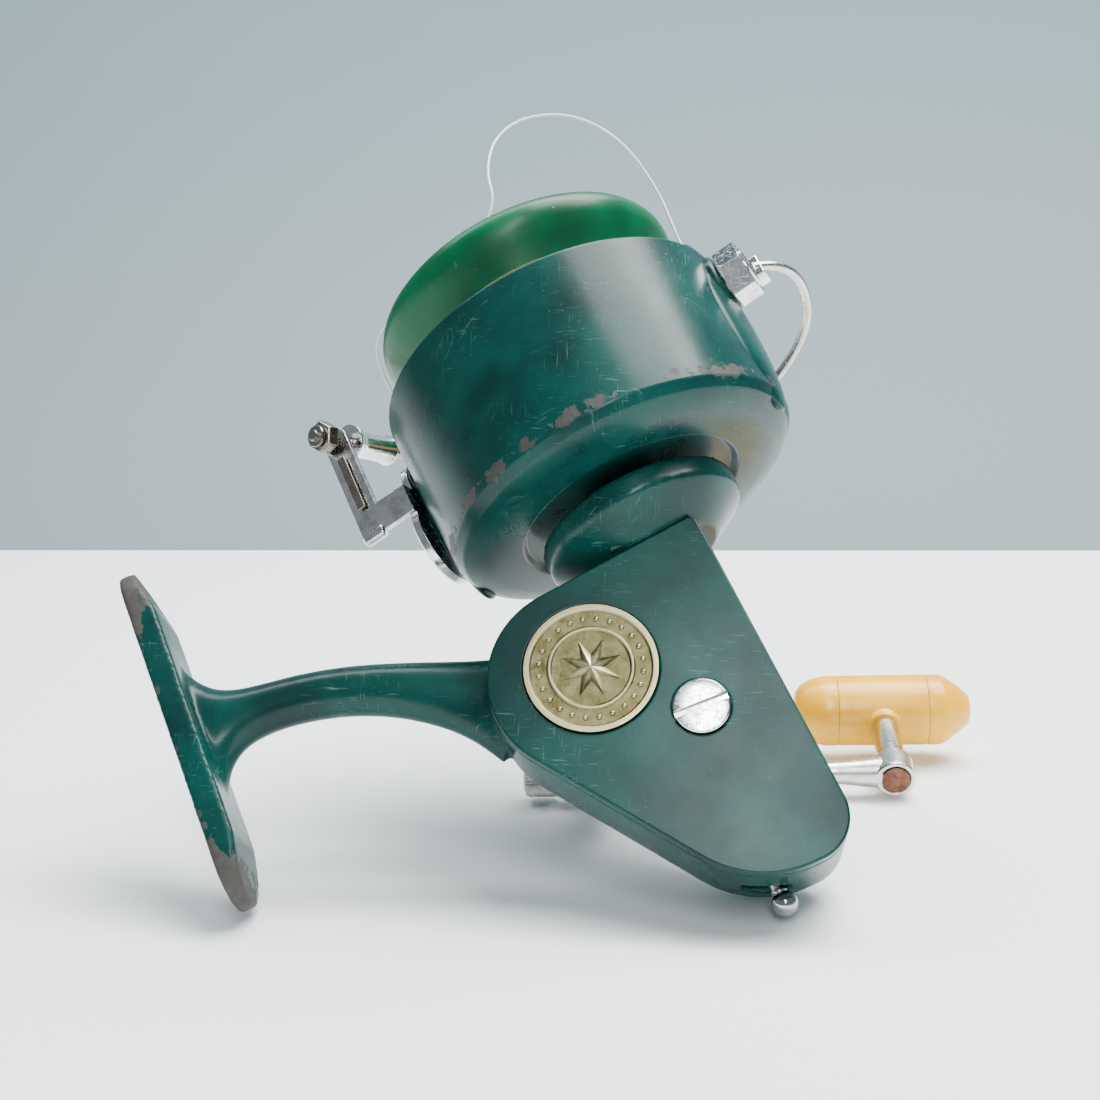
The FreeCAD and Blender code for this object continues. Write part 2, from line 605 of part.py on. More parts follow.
def knob():
    """The knob's grip runs along local X; its pin along local Z."""
    place = crank_place() * Placement(Vector(v.crank_length, 0, v.stud_length + v.free_gap + v.knob_radius),
                                      Rotation())
    half = v.knob_length / 2
    joint = half - v.knob_cap
    hole = cylinder("dims.pin_radius + dims.running_gap", 40.0, place * along((0, 0, 1), (0, 0, -20.0)))
    barrel = cylinder("dims.knob_radius", 2 * joint, place * along((1, 0, 0), (-joint, 0, 0)))
    flat = cylinder("dims.stud_radius + 1.0", 1.0, place * along((0, 0, 1), (0, 0, -v.knob_radius)))
    piece("knob_grip", cut(fuse(barrel, flat), hole))
    caps = []
    for side in (-1, 1):
        seat = place * along((side, 0, 0), (side * joint, 0, 0))
        collar = cylinder("dims.knob_radius", 3.4, seat)
        nose = cone("dims.knob_radius", "dims.knob_radius * 0.32", v.knob_cap - 3.4,
                    seat * along((0, 0, 1), (0, 0, 3.4)))
        caps.append(fuse(collar, nose))
    piece("knob_end_caps", gather(*caps))
    clip = cylinder("dims.pin_radius + 1.6", 0.8, place * along((0, 0, 1), (0, 0, v.knob_radius + 0.4)))
    clip_hole = cylinder("dims.pin_radius + 0.02", 3.0, place * along((0, 0, 1), (0, 0, v.knob_radius)))
    piece("knob_clip", cut(clip, clip_hole))


# ---- anti-reverse lever ----------------------------------------------------------------------

def lever():
    place = Placement(Vector(v.lever_x, SPOOL_Y, v.lever_pivot_z), Rotation())
    eye = cylinder(3.0, 3.0, place * along((0, 1, 0), (0, -1.5, 0)))
    length = v.lever_pivot_z - v.lever_ball_z
    bar = block(3.0, 2.4, 8.0, place * Placement(Vector(0, 0, -9.0), Rotation()))
    post = cylinder("dims.lever_post_radius", length - 6.0, place * along((0, 0, -1), (0, 0, -6.0)))
    dog = block(6.0, 2.4, 2.6, place * Placement(Vector(-4.6, 0, -0.4), Rotation()))
    hole = cylinder("1.35 + dims.running_gap", 10.0, place * along((0, 1, 0), (0, -5.0, 0)))
    ball_seat = sphere("dims.lever_ball_radius", place * Placement(Vector(0, 0, -length), Rotation()))
    piece("anti_reverse_lever", cut(fuse(eye, bar, post, dog), hole, ball_seat))
    piece("lever_ball", sphere("dims.lever_ball_radius"),
          place * Placement(Vector(0, 0, -length), Rotation()))
    pin = cylinder(1.35, 8.0, place * along((0, 1, 0), (0, -1.8, 0)))
    head = cylinder(2.4, 0.8, place * along((0, 1, 0), (0, -2.6, 0)))
    piece("lever_pivot_pin", fuse(pin, head))


# ---- rotor -----------------------------------------------------------------------------------

def pinion():
    tip = v.spool_axis_x - v.drive_x - v.gear_radius - v.mesh_gap
    twist = math.degrees(v.worm_length * RATIO / (v.gear_radius + v.mesh_gap / 2))
    worm = toothed("worm", WORM_STARTS, tip, tip - v.tooth_depth, v.worm_length, twist, 10,
                   v.main_shaft_radius + v.running_gap)
    worm.Placement = Placement(Vector(0, 0, v.drive_z - v.worm_length / 2), Rotation())
    start = v.drive_z + v.worm_length / 2
    sleeve = cylinder("dims.sleeve_radius", v.rotor_hub_z + v.rotor_nut_height + 1.0 - start,
                      along((0, 0, 1), (0, 0, start)))
    bore = cylinder("dims.main_shaft_radius + dims.running_gap", 80.0, along((0, 0, 1), (0, 0, -20.0)))
    piece("pinion", cut(fuse(worm, sleeve), bore), MAIN_AXIS)


def rotor():
    foot_z = v.rotor_foot_z
    inner = v.rotor_shoulder_radius - v.rotor_wall
    body_profile = [
        (v.sleeve_radius + v.fit_gap, foot_z - 1.6), (v.sleeve_radius + 3.0, foot_z - 1.6),
        (v.sleeve_radius + 3.0, foot_z + 1.6), (v.rotor_foot_radius - 1.0, foot_z + 1.6),
        (v.rotor_foot_radius, foot_z), (v.rotor_shoulder_radius - 4.6, foot_z + 0.3),
        (v.rotor_shoulder_radius - 1.2, foot_z + 1.5), (v.rotor_shoulder_radius, foot_z + v.rotor_corner),
        (v.rotor_rim_radius, v.rotor_rim_z - 1.0), (v.rotor_rim_radius - 0.8, v.rotor_rim_z),
        (v.rotor_rim_radius - v.rotor_wall, v.rotor_rim_z), (inner, v.rotor_floor_z + 2.0),
        (inner - 2.0, v.rotor_floor_z), (v.rotor_hub_radius, v.rotor_floor_z),
        (v.rotor_hub_radius, v.rotor_hub_z), (v.sleeve_radius + v.fit_gap, v.rotor_hub_z)]
    cup = lathe("rotor_cup", body_profile, UNTURNED)
    pieces.pop("rotor_cup")
    turned = Placement(Vector(0, 0, v.bail_z), Rotation(Vector(0, 0, 1), v.bail_turn))
    start = v.rotor_rim_radius - 2.0
    bosses = []
    holes = []
    for side in (1, -1):
        bosses.append(cylinder("dims.bail_boss_radius", v.bail_boss_reach - start,
                               turned * along((side, 0, 0), (side * start, 0, 0))))
        holes.append(cylinder("dims.bail_screw_radius + dims.fit_gap", 12.0,
                              turned * along((side, 0, 0), (side * (start - 6.0), 0, 0))))
    piece("rotor", cut(fuse(cup, *bosses), *holes), MAIN_AXIS)
    nut = hexagon("dims.sleeve_radius + 3.4", "dims.rotor_nut_height",
                  along((0, 0, 1), (0, 0, v.rotor_hub_z)))
    nut_hole = cylinder("dims.sleeve_radius + 0.02", 10.0, along((0, 0, 1), (0, 0, v.rotor_hub_z - 2)))
    piece("rotor_nut", cut(nut, nut_hole), MAIN_AXIS)


# ---- bail ------------------------------------------------------------------------------------

def pivot_screws():
    """Shouldered screws that the two ends of the bail turn on."""
    for label, side, reach in (("bail_block_screw", 1, v.bail_boss_reach + v.bail_block_length - 1.4),
                               ("bail_arm_screw", -1,
                                v.bail_boss_reach + v.bail_plate_thickness + v.free_gap)):
        start = v.rotor_rim_radius - v.rotor_wall - 0.4
        shank = cylinder("dims.bail_screw_radius", reach - start, along((side, 0, 0), (side * start, 0, 0)))
        head = cylinder("dims.bail_screw_radius + 1.5", 1.2, along((side, 0, 0), (side * reach, 0, 0)))
        piece(label, fuse(shank, head), BAIL_AXIS)


def bail_block():
    start = v.bail_boss_reach + v.free_gap
    nut = hexagon("dims.bail_block_width / 2 / cos(30)", "dims.bail_block_length",
                  along((1, 0, 0), (start, 0, 0)))
    bore = cylinder("dims.bail_screw_radius + dims.running_gap", 20.0, along((1, 0, 0), (start - 5.0, 0, 0)))
    sink = cylinder("dims.bail_screw_radius + 1.8", 3.0,
                    along((1, 0, 0), (start + v.bail_block_length - 2.0, 0, 0)))
    lug = block(3.2, 5.0, 4.6, Placement(Vector(start + v.bail_block_length + 0.6, 3.4, -2.3), Rotation()))
    wire_hole = cylinder("dims.bail_wire_radius + dims.fit_gap", 30.0,
                         along((0, 1, 0), (start + v.bail_block_length + 0.6, -10.0, 0)))
    piece("bail_block", cut(fuse(nut, lug), bore, sink, wire_hole), BAIL_AXIS)


def roller_place():
    """Roller pin along local Z, from the strap's outer face inwards."""
    lean = math.radians(v.roller_lean)
    return along((math.sin(lean), math.cos(lean), 0), (v.bail_strap_x, v.bail_strap_y, v.bail_strap_tip))


def bail_arm():
    near = -v.bail_boss_reach - v.free_gap
    thick = v.bail_plate_thickness
    wide = v.bail_plate_width / 2
    plate_front = cylinder("dims.bail_screw_radius + 3.4", "dims.bail_plate_thickness",
                           along((-1, 0, 0), (near, 0, 0)))
    plate_tail = cylinder("dims.bail_plate_width / 2", "dims.bail_plate_thickness",
                          along((-1, 0, 0), (near, 0, -v.bail_tail + wide)))
    plate_middle = block("dims.bail_plate_thickness", "2 * dims.bail_screw_radius + 6.8", v.bail_tail - wide,
                         Placement(Vector(near - thick / 2, 0, -v.bail_tail + wide), Rotation()))
    tab_length = -v.bail_strap_x + v.bail_strap_width / 2 + near
    tab = block(tab_length, "dims.bail_plate_thickness", "dims.bail_tab_height",
                Placement(Vector(near - tab_length / 2, v.bail_strap_y + thick / 2, v.bail_tab_z),
                          Rotation()))
    web = block("dims.bail_plate_thickness", wide, "dims.bail_tab_height",
                Placement(Vector(near - thick / 2, v.bail_strap_y + wide / 2, v.bail_tab_z), Rotation()))
    strap = block("dims.bail_strap_width", "dims.bail_plate_thickness", v.bail_strap_tip - v.bail_tab_z,
                  Placement(Vector(v.bail_strap_x, v.bail_strap_y + thick / 2, v.bail_tab_z), Rotation()))
    tip = cylinder("dims.bail_strap_width / 2", "dims.bail_plate_thickness",
                   along((0, 1, 0), (v.bail_strap_x, v.bail_strap_y, v.bail_strap_tip)))
    bore = cylinder("dims.bail_screw_radius + dims.running_gap", 10.0, along((-1, 0, 0), (near + 4.0, 0, 0)))
    pin_hole = cylinder("dims.roller_pin_radius + dims.fit_gap", 12.0,
                        roller_place() * along((0, 0, 1), (0, 0, -6.0)))
    piece("bail_arm", cut(fuse(plate_front, plate_tail, plate_middle, web, tab, strap, tip), bore,
                          pin_hole), BAIL_AXIS)


def line_roller():
    place = roller_place()
    start = 4.2
    pin = cylinder("dims.roller_pin_radius", v.roller_length + start + 8.4,
                   place * along((0, 0, 1), (0, 0, -6.4)))
    flange = cylinder("dims.roller_pin_radius + 0.9", 1.0,
                      place * along((0, 0, 1), (0, 0, start + v.roller_length + 0.4)))
    piece("roller_pin", fuse(pin, flange), BAIL_AXIS)
    nut = hexagon(3.6, 3.0, place * along((0, 0, 1), (0, 0, -4.4)))
    nut_hole = cylinder("dims.roller_pin_radius + 0.02", 6.0, place * along((0, 0, 1), (0, 0, -6.0)))
    piece("roller_nut", cut(nut, nut_hole), BAIL_AXIS)
    drum = cylinder("dims.roller_radius", "dims.roller_length", place * along((0, 0, 1), (0, 0, start)))
    flare = cone("dims.roller_radius + 1.0", "dims.roller_radius", 3.0,
                 place * along((0, 0, 1), (0, 0, start)))
    bore = cylinder("dims.roller_pin_radius + dims.running_gap", 30.0, place * along((0, 0, 1), (0, 0, -2.0)))
    piece("line_roller", cut(fuse(drum, flare), bore), BAIL_AXIS)


def swept_tube(label, points, radius, place=UNTURNED):
    """A round bar along straight runs joined by tangent arcs, each as large as its runs allow."""
    route = [Vector(*point) for point in points]
    edges = []
    radii = []
    last = route[0]
    for before, here, after in zip(route, route[1:], route[2:]):
        back = (before - here).normalize()
        ahead = (after - here).normalize()
        half = back.getAngle(ahead) / 2
        reach = 0.45 * min((before - here).Length, (after - here).Length)
        bend = reach * math.tan(half)
        bisector = (back + ahead).normalize()
        centre = here + bisector * (bend / math.sin(half))
        start = here + back * reach
        end = here + ahead * reach
        edges.append(Part.LineSegment(last, start).toShape())
        edges.append(Part.Arc(start, centre - bisector * bend, end).toShape())
        radii.append(bend)
        last = end
    edges.append(Part.LineSegment(last, route[-1]).toShape())
    path = Part.Wire(edges)
    ring_wire = Part.Wire([Part.makeCircle(radius, route[0], route[1] - route[0])])
    item = doc.addObject("Part::Feature", label)
    item.Shape = path.makePipeShell([ring_wire], True, True)
    print("%s: length %.1f, tightest bend %.2f, volume over section %.1f"
          % (label, path.Length, min(radii), item.Shape.Volume / (math.pi * radius ** 2)))
    piece(label, item, place)


def bail_wire():
    near = v.bail_boss_reach + v.free_gap + v.bail_block_length + 0.6
    pin_end = roller_place() * along((0, 0, 1), (0, 0, v.roller_length + 4.2 + 2.3))
    start = pin_end.Base
    route = [(near, 1.0, 0.0), (near + 4.6, 4.4, -0.4), (near + 6.2, 14.5, -2.2), (near + 1.6, 27.0, -4.4),
             (33.0, 38.6, -5.0), (17.0, 46.0, -4.0), (0.0, 48.6, 0.0), (-18.0, 46.0, 6.0), (-32.0, 38.0,
                                                                                            11.0),
             (-41.0, 26.0, 15.0), (start.x + 1.6, start.y + 5.0, start.z), (start.x, start.y, start.z)]
    swept_tube("bail_wire", route, v.bail_wire_radius, BAIL_AXIS)


# ---- main shaft, spool and drag --------------------------------------------------------------

def main_shaft():
    shaft = cylinder("dims.main_shaft_radius", "dims.main_shaft_front - dims.main_shaft_rear",
                     along((0, 0, 1), (0, 0, v.main_shaft_rear)))
    piece("main_shaft", shaft, MAIN_AXIS)
    yoke_width = 2 * (v.spool_axis_x - v.screw_x - v.screw_shank_radius - 1.2 - v.free_gap)
    yoke_block = block(yoke_width, 9.0, 6.0, Placement(Vector(0, 0, -24.0), Rotation()))
    riser = block(5.0, 2.0, 24.0 + 4.5, Placement(Vector(0, -7.1, -24.0), Rotation()))
    link = block(yoke_width, 5.0, 6.0, Placement(Vector(0, -5.6, -24.0), Rotation()))
    arm_length = v.spool_axis_x - v.drive_x + 9.0
    arm = block(arm_length, 2.0, 7.0, Placement(Vector(-arm_length / 2 + 2.0, -7.1, -2.5), Rotation()))
    bore = cylinder("dims.main_shaft_radius + 0.02", 20.0, along((0, 0, 1), (0, 0, -30.0)))
    slot = block(2 * 8.0, 4.0, 3.6, Placement(Vector(v.drive_x - v.spool_axis_x, -7.1, -0.8), Rotation()))
    piece("crosswind_yoke", cut(fuse(yoke_block, riser, link, arm), bore, slot), MAIN_AXIS)


def spool():
    back = v.spool_back_z
    arbor = v.spool_arbor_radius
    bore = v.main_shaft_radius + v.running_gap
    web = v.spool_web_z
    lip = v.spool_lip_z
    top = lip + v.spool_lip_thickness
    edge = v.spool_lip_radius
    profile = [
        (arbor - v.spool_wall, back), (v.spool_flange_radius, back), (v.spool_flange_radius,
                                                                      back + v.spool_flange_thickness),
        (arbor, back + v.spool_flange_thickness), (arbor, lip), (edge - 1.8, lip), (edge - 1.2, lip + 1.0),
        (edge - 0.4, top - 5.6), (edge, top - 3.6), (edge - 0.8, top - 1.4), (edge - 2.6, top), (edge - 7.0,
                                                                                                 top),
        (v.drag_knob_radius + 2.6, top - 2.4), (v.drag_knob_radius + 1.6, top - 3.4),
        (v.drag_knob_radius + 1.6, web + v.spool_web_thickness), (bore, web + v.spool_web_thickness),
        (bore, web), (arbor - v.spool_wall, web)]
    lathe("spool", profile)
    inner = arbor + 0.02
    lathe("wound_line", [(inner, back + v.spool_flange_thickness + 0.02),
                         (v.line_pack_radius, back + v.spool_flange_thickness + 0.02),
                         (v.line_pack_radius, lip - 0.02), (inner, lip - 0.02)])
    seat = web - 1.2
    ring("spool_seat_washer", "dims.main_shaft_radius + 0.02", "dims.main_shaft_radius + 4.0", 1.0,
         MAIN_AXIS * along((0, 0, 1), (0, 0, seat - 0.1)))


def drag():
    floor = v.spool_web_z + v.spool_web_thickness
    washers = []
    for number in range(3):
        place = MAIN_AXIS * along((0, 0, 1), (0, 0, floor + 0.05 + 1.1 * number))
        washers.append(cut(cylinder(9.0, 1.0, place), cylinder("dims.main_shaft_radius + 0.02", 1.0, place)))
    piece("drag_washers", gather(*washers))
    base = floor + 3.6
    knob_height = v.drag_knob_height
    disc = cylinder("dims.drag_knob_radius", knob_height - 2.0, along((0, 0, 1), (0, 0, base + 8.0)))
    crown = cone("dims.drag_knob_radius", "dims.drag_knob_radius - 2", 2.0,
                 along((0, 0, 1), (0, 0, base + 6.0 + knob_height)))
    neck = cylinder(6.0, 9.0, along((0, 0, 1), (0, 0, base)))
    scallops = []
    for number in range(10):
        angle = 2 * math.pi * number / 10
        reach = v.drag_knob_radius + 1.0
        scallops.append(cylinder(2.2, 40.0, along((0, 0, 1),
                                                  (reach * math.cos(angle), reach * math.sin(angle), base))))
    bore = cylinder("dims.main_shaft_radius + dims.running_gap", 60.0, along((0, 0, 1), (0, 0, base - 5)))
    piece("drag_knob", cut(fuse(disc, crown, neck), bore, *scallops), MAIN_AXIS)


def line_loop():
    """A turn of line thrown off the spool: out of the winding, over the front and back in."""
    route = [(29.2, -8.6, 69.8), (31.8, -10.2, 72.4), (32.2, -11.0, 79.0), (33.2, -12.4, 90.0),
             (31.0, -16.0, 102.0),
             (24.6, -17.6, 111.6), (15.0, -18.0, 115.8), (6.6, -20.4, 111.6), (1.4, -22.6, 102.6), (0.2,
                                                                                                    -22.8, 94.6),
             (-6.0, -20.6, 89.4), (-17.0, -14.8, 88.4), (-27.6, -9.0, 88.6), (-33.4, -5.4, 85.6), (-33.7,
                                                                                                   -3.0, 79.0),
             (-33.3, -1.6, 72.6), (-30.4, -0.8, 69.8)]
    swept_tube("line_loop", route, v.line_radius, MAIN_AXIS)


# ---- the resting attitude --------------------------------------------------------------------

def rest_on_table():
    """Upward direction and crank angle at which foot tip, lever ball, eye and lock nut all touch."""
    angle = math.radians(-22.0)
    up = Vector(0.342, -0.552, 0.759).normalize()
    ball = Vector(v.lever_x, SPOOL_Y, v.lever_ball_z)
    hub = Vector(v.drive_x, v.crank_offset, v.drive_z)
    for step in range(30):
        side = math.hypot(up.y, up.z)
        tip = Vector(-v.foot_face, SPOOL_Y - v.foot_width / 2 * up.y / side,
                     -v.foot_rear + v.foot_width / 2 - v.foot_width / 2 * up.z / side)
        arm = Vector(math.cos(angle), 0, math.sin(angle))
        eye = hub + arm * v.crank_length
        first = tip - ball
        second = tip - eye
        across = first.cross(second)
        gain_first = -v.lever_ball_radius
        gain_second = -v.eye_radius
        inside = (second.cross(across) * gain_first + across.cross(first) * gain_second) * (1 / across.Length ** 2)
        across.normalize()
        up = inside + across * math.sqrt(1 - inside.Length ** 2)
        rise = (v.eye_radius - v.nut_radius) / (v.crank_length + v.crank_tail - v.nut_length / 2)
        angle = math.asin(rise / math.hypot(up.x, up.z)) - math.atan2(up.x, up.z)
    forward = ball - tip
    forward = (forward - up * forward.dot(up)).normalize()
    return up, forward, angle


up, forward, crank_angle = rest_on_table()

housing()
side_plate()
badge()
plate_screw()
bearing()
bushes()
drive()
crank()
knob()
lever()
pinion()
rotor()
pivot_screws()
bail_block()
bail_arm()
line_roller()
bail_wire()
main_shaft()
spool()
drag()
line_loop()
doc.recompute()

attitude = Placement(Vector(), Rotation(forward, up.cross(forward), up, "XZY").inverted())
for item, place in pieces.values():
    item.Placement = attitude * place
doc.recompute()
box = FreeCAD.BoundBox()
for item, place in pieces.values():
    box.add(item.Shape.optimalBoundingBox(False, False))
rest = Placement(Vector(-box.Center.x, -box.Center.y, -box.ZMin), Rotation()) * attitude
for item, place in pieces.values():
    item.Placement = rest * place
doc.recompute()

for item in doc.Objects:
    if "Invalid" in item.State or "Error" in item.State:
        raise RuntimeError("%s is %s" % (item.Label, item.State))
for label, (item, place) in pieces.items():
    if item.Shape.isNull() or not item.Shape.isValid() or not item.Shape.Solids:
        raise RuntimeError("%s has no valid solid" % label)

os.makedirs("parts", exist_ok=True)
for label, (item, place) in pieces.items():
    item.Shape.exportStep("parts/%s.step" % label)
print("%d pieces, box %.1f x %.1f x %.1f mm" % (len(pieces), box.XLength, box.YLength, box.ZLength))
print("spool travel %.1f mm back and %.1f mm ahead, bail closes by %.0f degrees"
      % (v.stroke_back, v.stroke_ahead, v.bail_close))
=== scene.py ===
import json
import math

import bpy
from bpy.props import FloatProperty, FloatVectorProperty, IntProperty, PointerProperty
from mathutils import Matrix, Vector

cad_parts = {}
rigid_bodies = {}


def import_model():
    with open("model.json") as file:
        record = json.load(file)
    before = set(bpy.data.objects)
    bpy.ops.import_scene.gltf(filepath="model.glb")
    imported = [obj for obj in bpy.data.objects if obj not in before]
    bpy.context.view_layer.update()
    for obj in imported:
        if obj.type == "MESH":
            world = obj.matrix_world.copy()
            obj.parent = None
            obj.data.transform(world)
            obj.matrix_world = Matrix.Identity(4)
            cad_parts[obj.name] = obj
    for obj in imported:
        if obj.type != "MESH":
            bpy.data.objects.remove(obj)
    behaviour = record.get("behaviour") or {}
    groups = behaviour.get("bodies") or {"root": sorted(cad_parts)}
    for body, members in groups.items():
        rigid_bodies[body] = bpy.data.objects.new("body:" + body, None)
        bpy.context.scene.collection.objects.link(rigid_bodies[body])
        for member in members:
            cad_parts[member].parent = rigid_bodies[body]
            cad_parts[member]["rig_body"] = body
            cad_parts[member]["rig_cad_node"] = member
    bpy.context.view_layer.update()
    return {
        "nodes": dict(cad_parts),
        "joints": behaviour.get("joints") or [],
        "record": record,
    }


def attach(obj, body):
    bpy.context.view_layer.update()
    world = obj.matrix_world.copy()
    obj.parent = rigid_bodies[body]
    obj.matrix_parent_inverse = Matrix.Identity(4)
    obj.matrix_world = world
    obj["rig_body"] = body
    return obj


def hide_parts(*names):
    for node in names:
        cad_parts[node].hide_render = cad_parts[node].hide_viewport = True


bl_info = {
    "name": "Spinning Reel",
    "version": (1, 0, 0),
    "blender": (4, 5, 0),
    "location": "3D View > Sidebar > Reel",
    "description": "Models the visible pieces of a spinning reel around its fixed frame",
    "category": "Object",
}

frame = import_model()

# ---- frames: each piece is modelled in millimetres in its own axes and then set in its place ----

MM = 0.001
JOINTS = {joint["name"]: joint for joint in frame["joints"]}
SPOOL_CENTRE = (22.0, 12.2, 0.0)
ROTOR_FLOOR = 38.6
BAIL_HEIGHT = 61.8
BAIL_TURN = math.radians(-22.0)
SCREW_SPOT = (14.7, 0.0, -15.0)
BALL_SPOT = (13.8, 12.2, -49.8)
CRANK_REACH = 58.3
KNOB_REACH = 26.2
ROLLER_END = 18.5


def frame_at(origin, across, ahead):
    """Axes in millimetres with Z ahead and X as near to across as it can be."""
    ahead = Vector(ahead).normalized()
    across = Vector(across)
    across = (across - ahead * across.dot(ahead)).normalized()
    turn = Matrix((across, ahead.cross(across), ahead)).transposed().to_4x4()
    return Matrix.Translation(origin) @ turn @ Matrix.Scale(MM, 4)


def shifted(x, y, z):
    return Matrix.Translation((x, y, z))


def turned_about(axis, degrees):
    return Matrix.Rotation(math.radians(degrees), 4, axis)


SPOOL_AXIS = Vector(JOINTS["rotor_turn"]["axis"])
PLATE_NORMAL = Vector(JOINTS["crank_turn"]["axis"])
SPOOL = (frame_at(JOINTS["rotor_turn"]["pos_m"], PLATE_NORMAL.cross(SPOOL_AXIS), SPOOL_AXIS)
         @ shifted(0, 0, -ROTOR_FLOOR))
REEL = SPOOL @ shifted(*SPOOL_CENTRE).inverted()
BAIL = SPOOL @ shifted(0, 0, BAIL_HEIGHT) @ Matrix.Rotation(BAIL_TURN, 4, "Z")
CRANK = frame_at(JOINTS["crank_fold"]["pos_m"], JOINTS["crank_fold"]["axis"], JOINTS["knob_turn"]["axis"])
ROLLER = frame_at(JOINTS["roller_turn"]["pos_m"], SPOOL_AXIS, JOINTS["roller_turn"]["axis"])
BADGE = REEL @ turned_about("X", 90)
SCREW = REEL @ shifted(*SCREW_SPOT) @ turned_about("X", 90)
EYE = CRANK @ shifted(CRANK_REACH, 0, 0)
KNOB = EYE @ shifted(0, 0, KNOB_REACH) @ turned_about("Y", 90)
LEVER_BALL = REEL @ shifted(*BALL_SPOT)


# ---- modelling helpers ---------------------------------------------------------------------------

def nothing_selected():
    if bpy.context.mode != "OBJECT":
        bpy.ops.object.mode_set(mode="OBJECT")
    bpy.ops.object.select_all(action="DESELECT")


def editing():
    bpy.ops.object.mode_set(mode="EDIT")
    bpy.ops.mesh.select_all(action="SELECT")


def tidied():
    """Merges doubles, turns faces outwards and goes back to object mode."""
    bpy.ops.mesh.select_all(action="SELECT")
    bpy.ops.mesh.remove_doubles(threshold=0.0005)
    bpy.ops.mesh.normals_make_consistent(inside=False)
    bpy.ops.object.mode_set(mode="OBJECT")
    return bpy.context.object


def lathed(profile, segments=96, bored=True):
    """A ring carried along a profile of (radius, height), then closed on itself or at both ends."""
    nothing_selected()
    start_radius, start_height = profile[0]
    bpy.ops.mesh.primitive_circle_add(vertices=segments, radius=start_radius, location=(0, 0, start_height))
    bpy.ops.object.transform_apply(location=True, rotation=True, scale=True)
    editing()
    for (before, low), (radius, high) in zip(profile, profile[1:]):
        bpy.ops.mesh.extrude_region_move(TRANSFORM_OT_translate={"value": (0, 0, high - low)})
        share = radius / before
        bpy.ops.transform.resize(value=(share, share, 1), center_override=(0, 0, high))
    bpy.ops.mesh.select_all(action="DESELECT")
    bpy.ops.mesh.select_non_manifold()
    if bored:
        bpy.ops.mesh.bridge_edge_loops()
    else:
        bpy.ops.mesh.fill_holes(sides=0)
    return tidied()


def slab(size, centre):
    """A box of a size about a centre."""
    nothing_selected()
    bpy.ops.mesh.primitive_cube_add(size=1, location=centre)
    bpy.context.object.scale = size
    bpy.ops.object.transform_apply(location=True, rotation=True, scale=True)
    return bpy.context.object


def moved(piece, place):
    nothing_selected()
    piece.select_set(True)
    bpy.context.view_layer.objects.active = piece
    piece.matrix_world = place @ piece.matrix_world
    bpy.ops.object.transform_apply(location=True, rotation=True, scale=True)
    return piece


def joined(*parts):
    nothing_selected()
    for part in parts:
        part.select_set(True)
    bpy.context.view_layer.objects.active = parts[0]
    bpy.ops.object.join()
    return parts[0]


def modified(piece, kind, **settings):
    """Adds a modifier, sets it and applies it."""
    nothing_selected()
    piece.select_set(True)
    bpy.context.view_layer.objects.active = piece
    modifier = piece.modifiers.new(kind, kind)
    for name, value in settings.items():
        setattr(modifier, name, value)
    bpy.ops.object.modifier_apply(modifier=modifier.name)
    return piece


def eased(piece, width, segments=3, degrees=32):
    """Rounds the sharp edges."""
    return modified(piece, "BEVEL", width=width, segments=segments, limit_method="ANGLE",
                    angle_limit=math.radians(degrees), harden_normals=False)


def carved(piece, cutter):
    """Cuts one piece with another and drops the cutter."""
    modified(piece, "BOOLEAN", operation="DIFFERENCE", object=cutter, solver="EXACT")
    bpy.data.objects.remove(cutter)
    return piece


def copied(node):
    """An own copy of a frame node, its loose triangles merged."""
    nothing_selected()
    piece = frame["nodes"][node].copy()
    piece.data = piece.data.copy()
    piece.parent = None
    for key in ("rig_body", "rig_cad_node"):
        del piece[key]
    bpy.context.scene.collection.objects.link(piece)
    piece.select_set(True)
    bpy.context.view_layer.objects.active = piece
    editing()
    bpy.ops.mesh.remove_doubles(threshold=2e-6)
    bpy.ops.mesh.dissolve_limited(angle_limit=math.radians(0.5))
    bpy.ops.object.mode_set(mode="OBJECT")
    return piece


def nurbs_tube(points, radius, place):
    """A round tube along a smooth line through control points, as a live curve."""
    nothing_selected()
    curve = bpy.data.curves.new("tube", "CURVE")
    curve.dimensions = "3D"
    spline = curve.splines.new("NURBS")
    spline.points.add(len(points) - 1)
    for control, point in zip(spline.points, points):
        control.co = (*(place @ Vector(point)), 1.0)
    spline.order_u = 3
    spline.use_endpoint_u = True
    spline.resolution_u = 10
    curve.bevel_depth = radius * MM
    curve.bevel_resolution = 5
    curve.use_fill_caps = True
    piece = bpy.data.objects.new("tube", curve)
    bpy.context.scene.collection.objects.link(piece)
    piece.select_set(True)
    bpy.context.view_layer.objects.active = piece
    return piece


def finished(piece, name, body, finish, replaces=(), smooth=35):
    """Names a piece, shades it, gives it its finish and lets it ride on its body."""
    nothing_selected()
    piece.name = name
    piece.data.name = name
    piece.select_set(True)
    bpy.context.view_layer.objects.active = piece
    if piece.type == "MESH":
        bpy.ops.object.shade_smooth_by_angle(angle=math.radians(smooth))
        modified(piece, "WEIGHTED_NORMAL", keep_sharp=True)
    piece.data.materials.clear()
    piece.data.materials.append(finish)
    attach(piece, body)
    if replaces:
        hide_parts(*replaces)
    return piece


# ---- finishes ------------------------------------------------------------------------------------

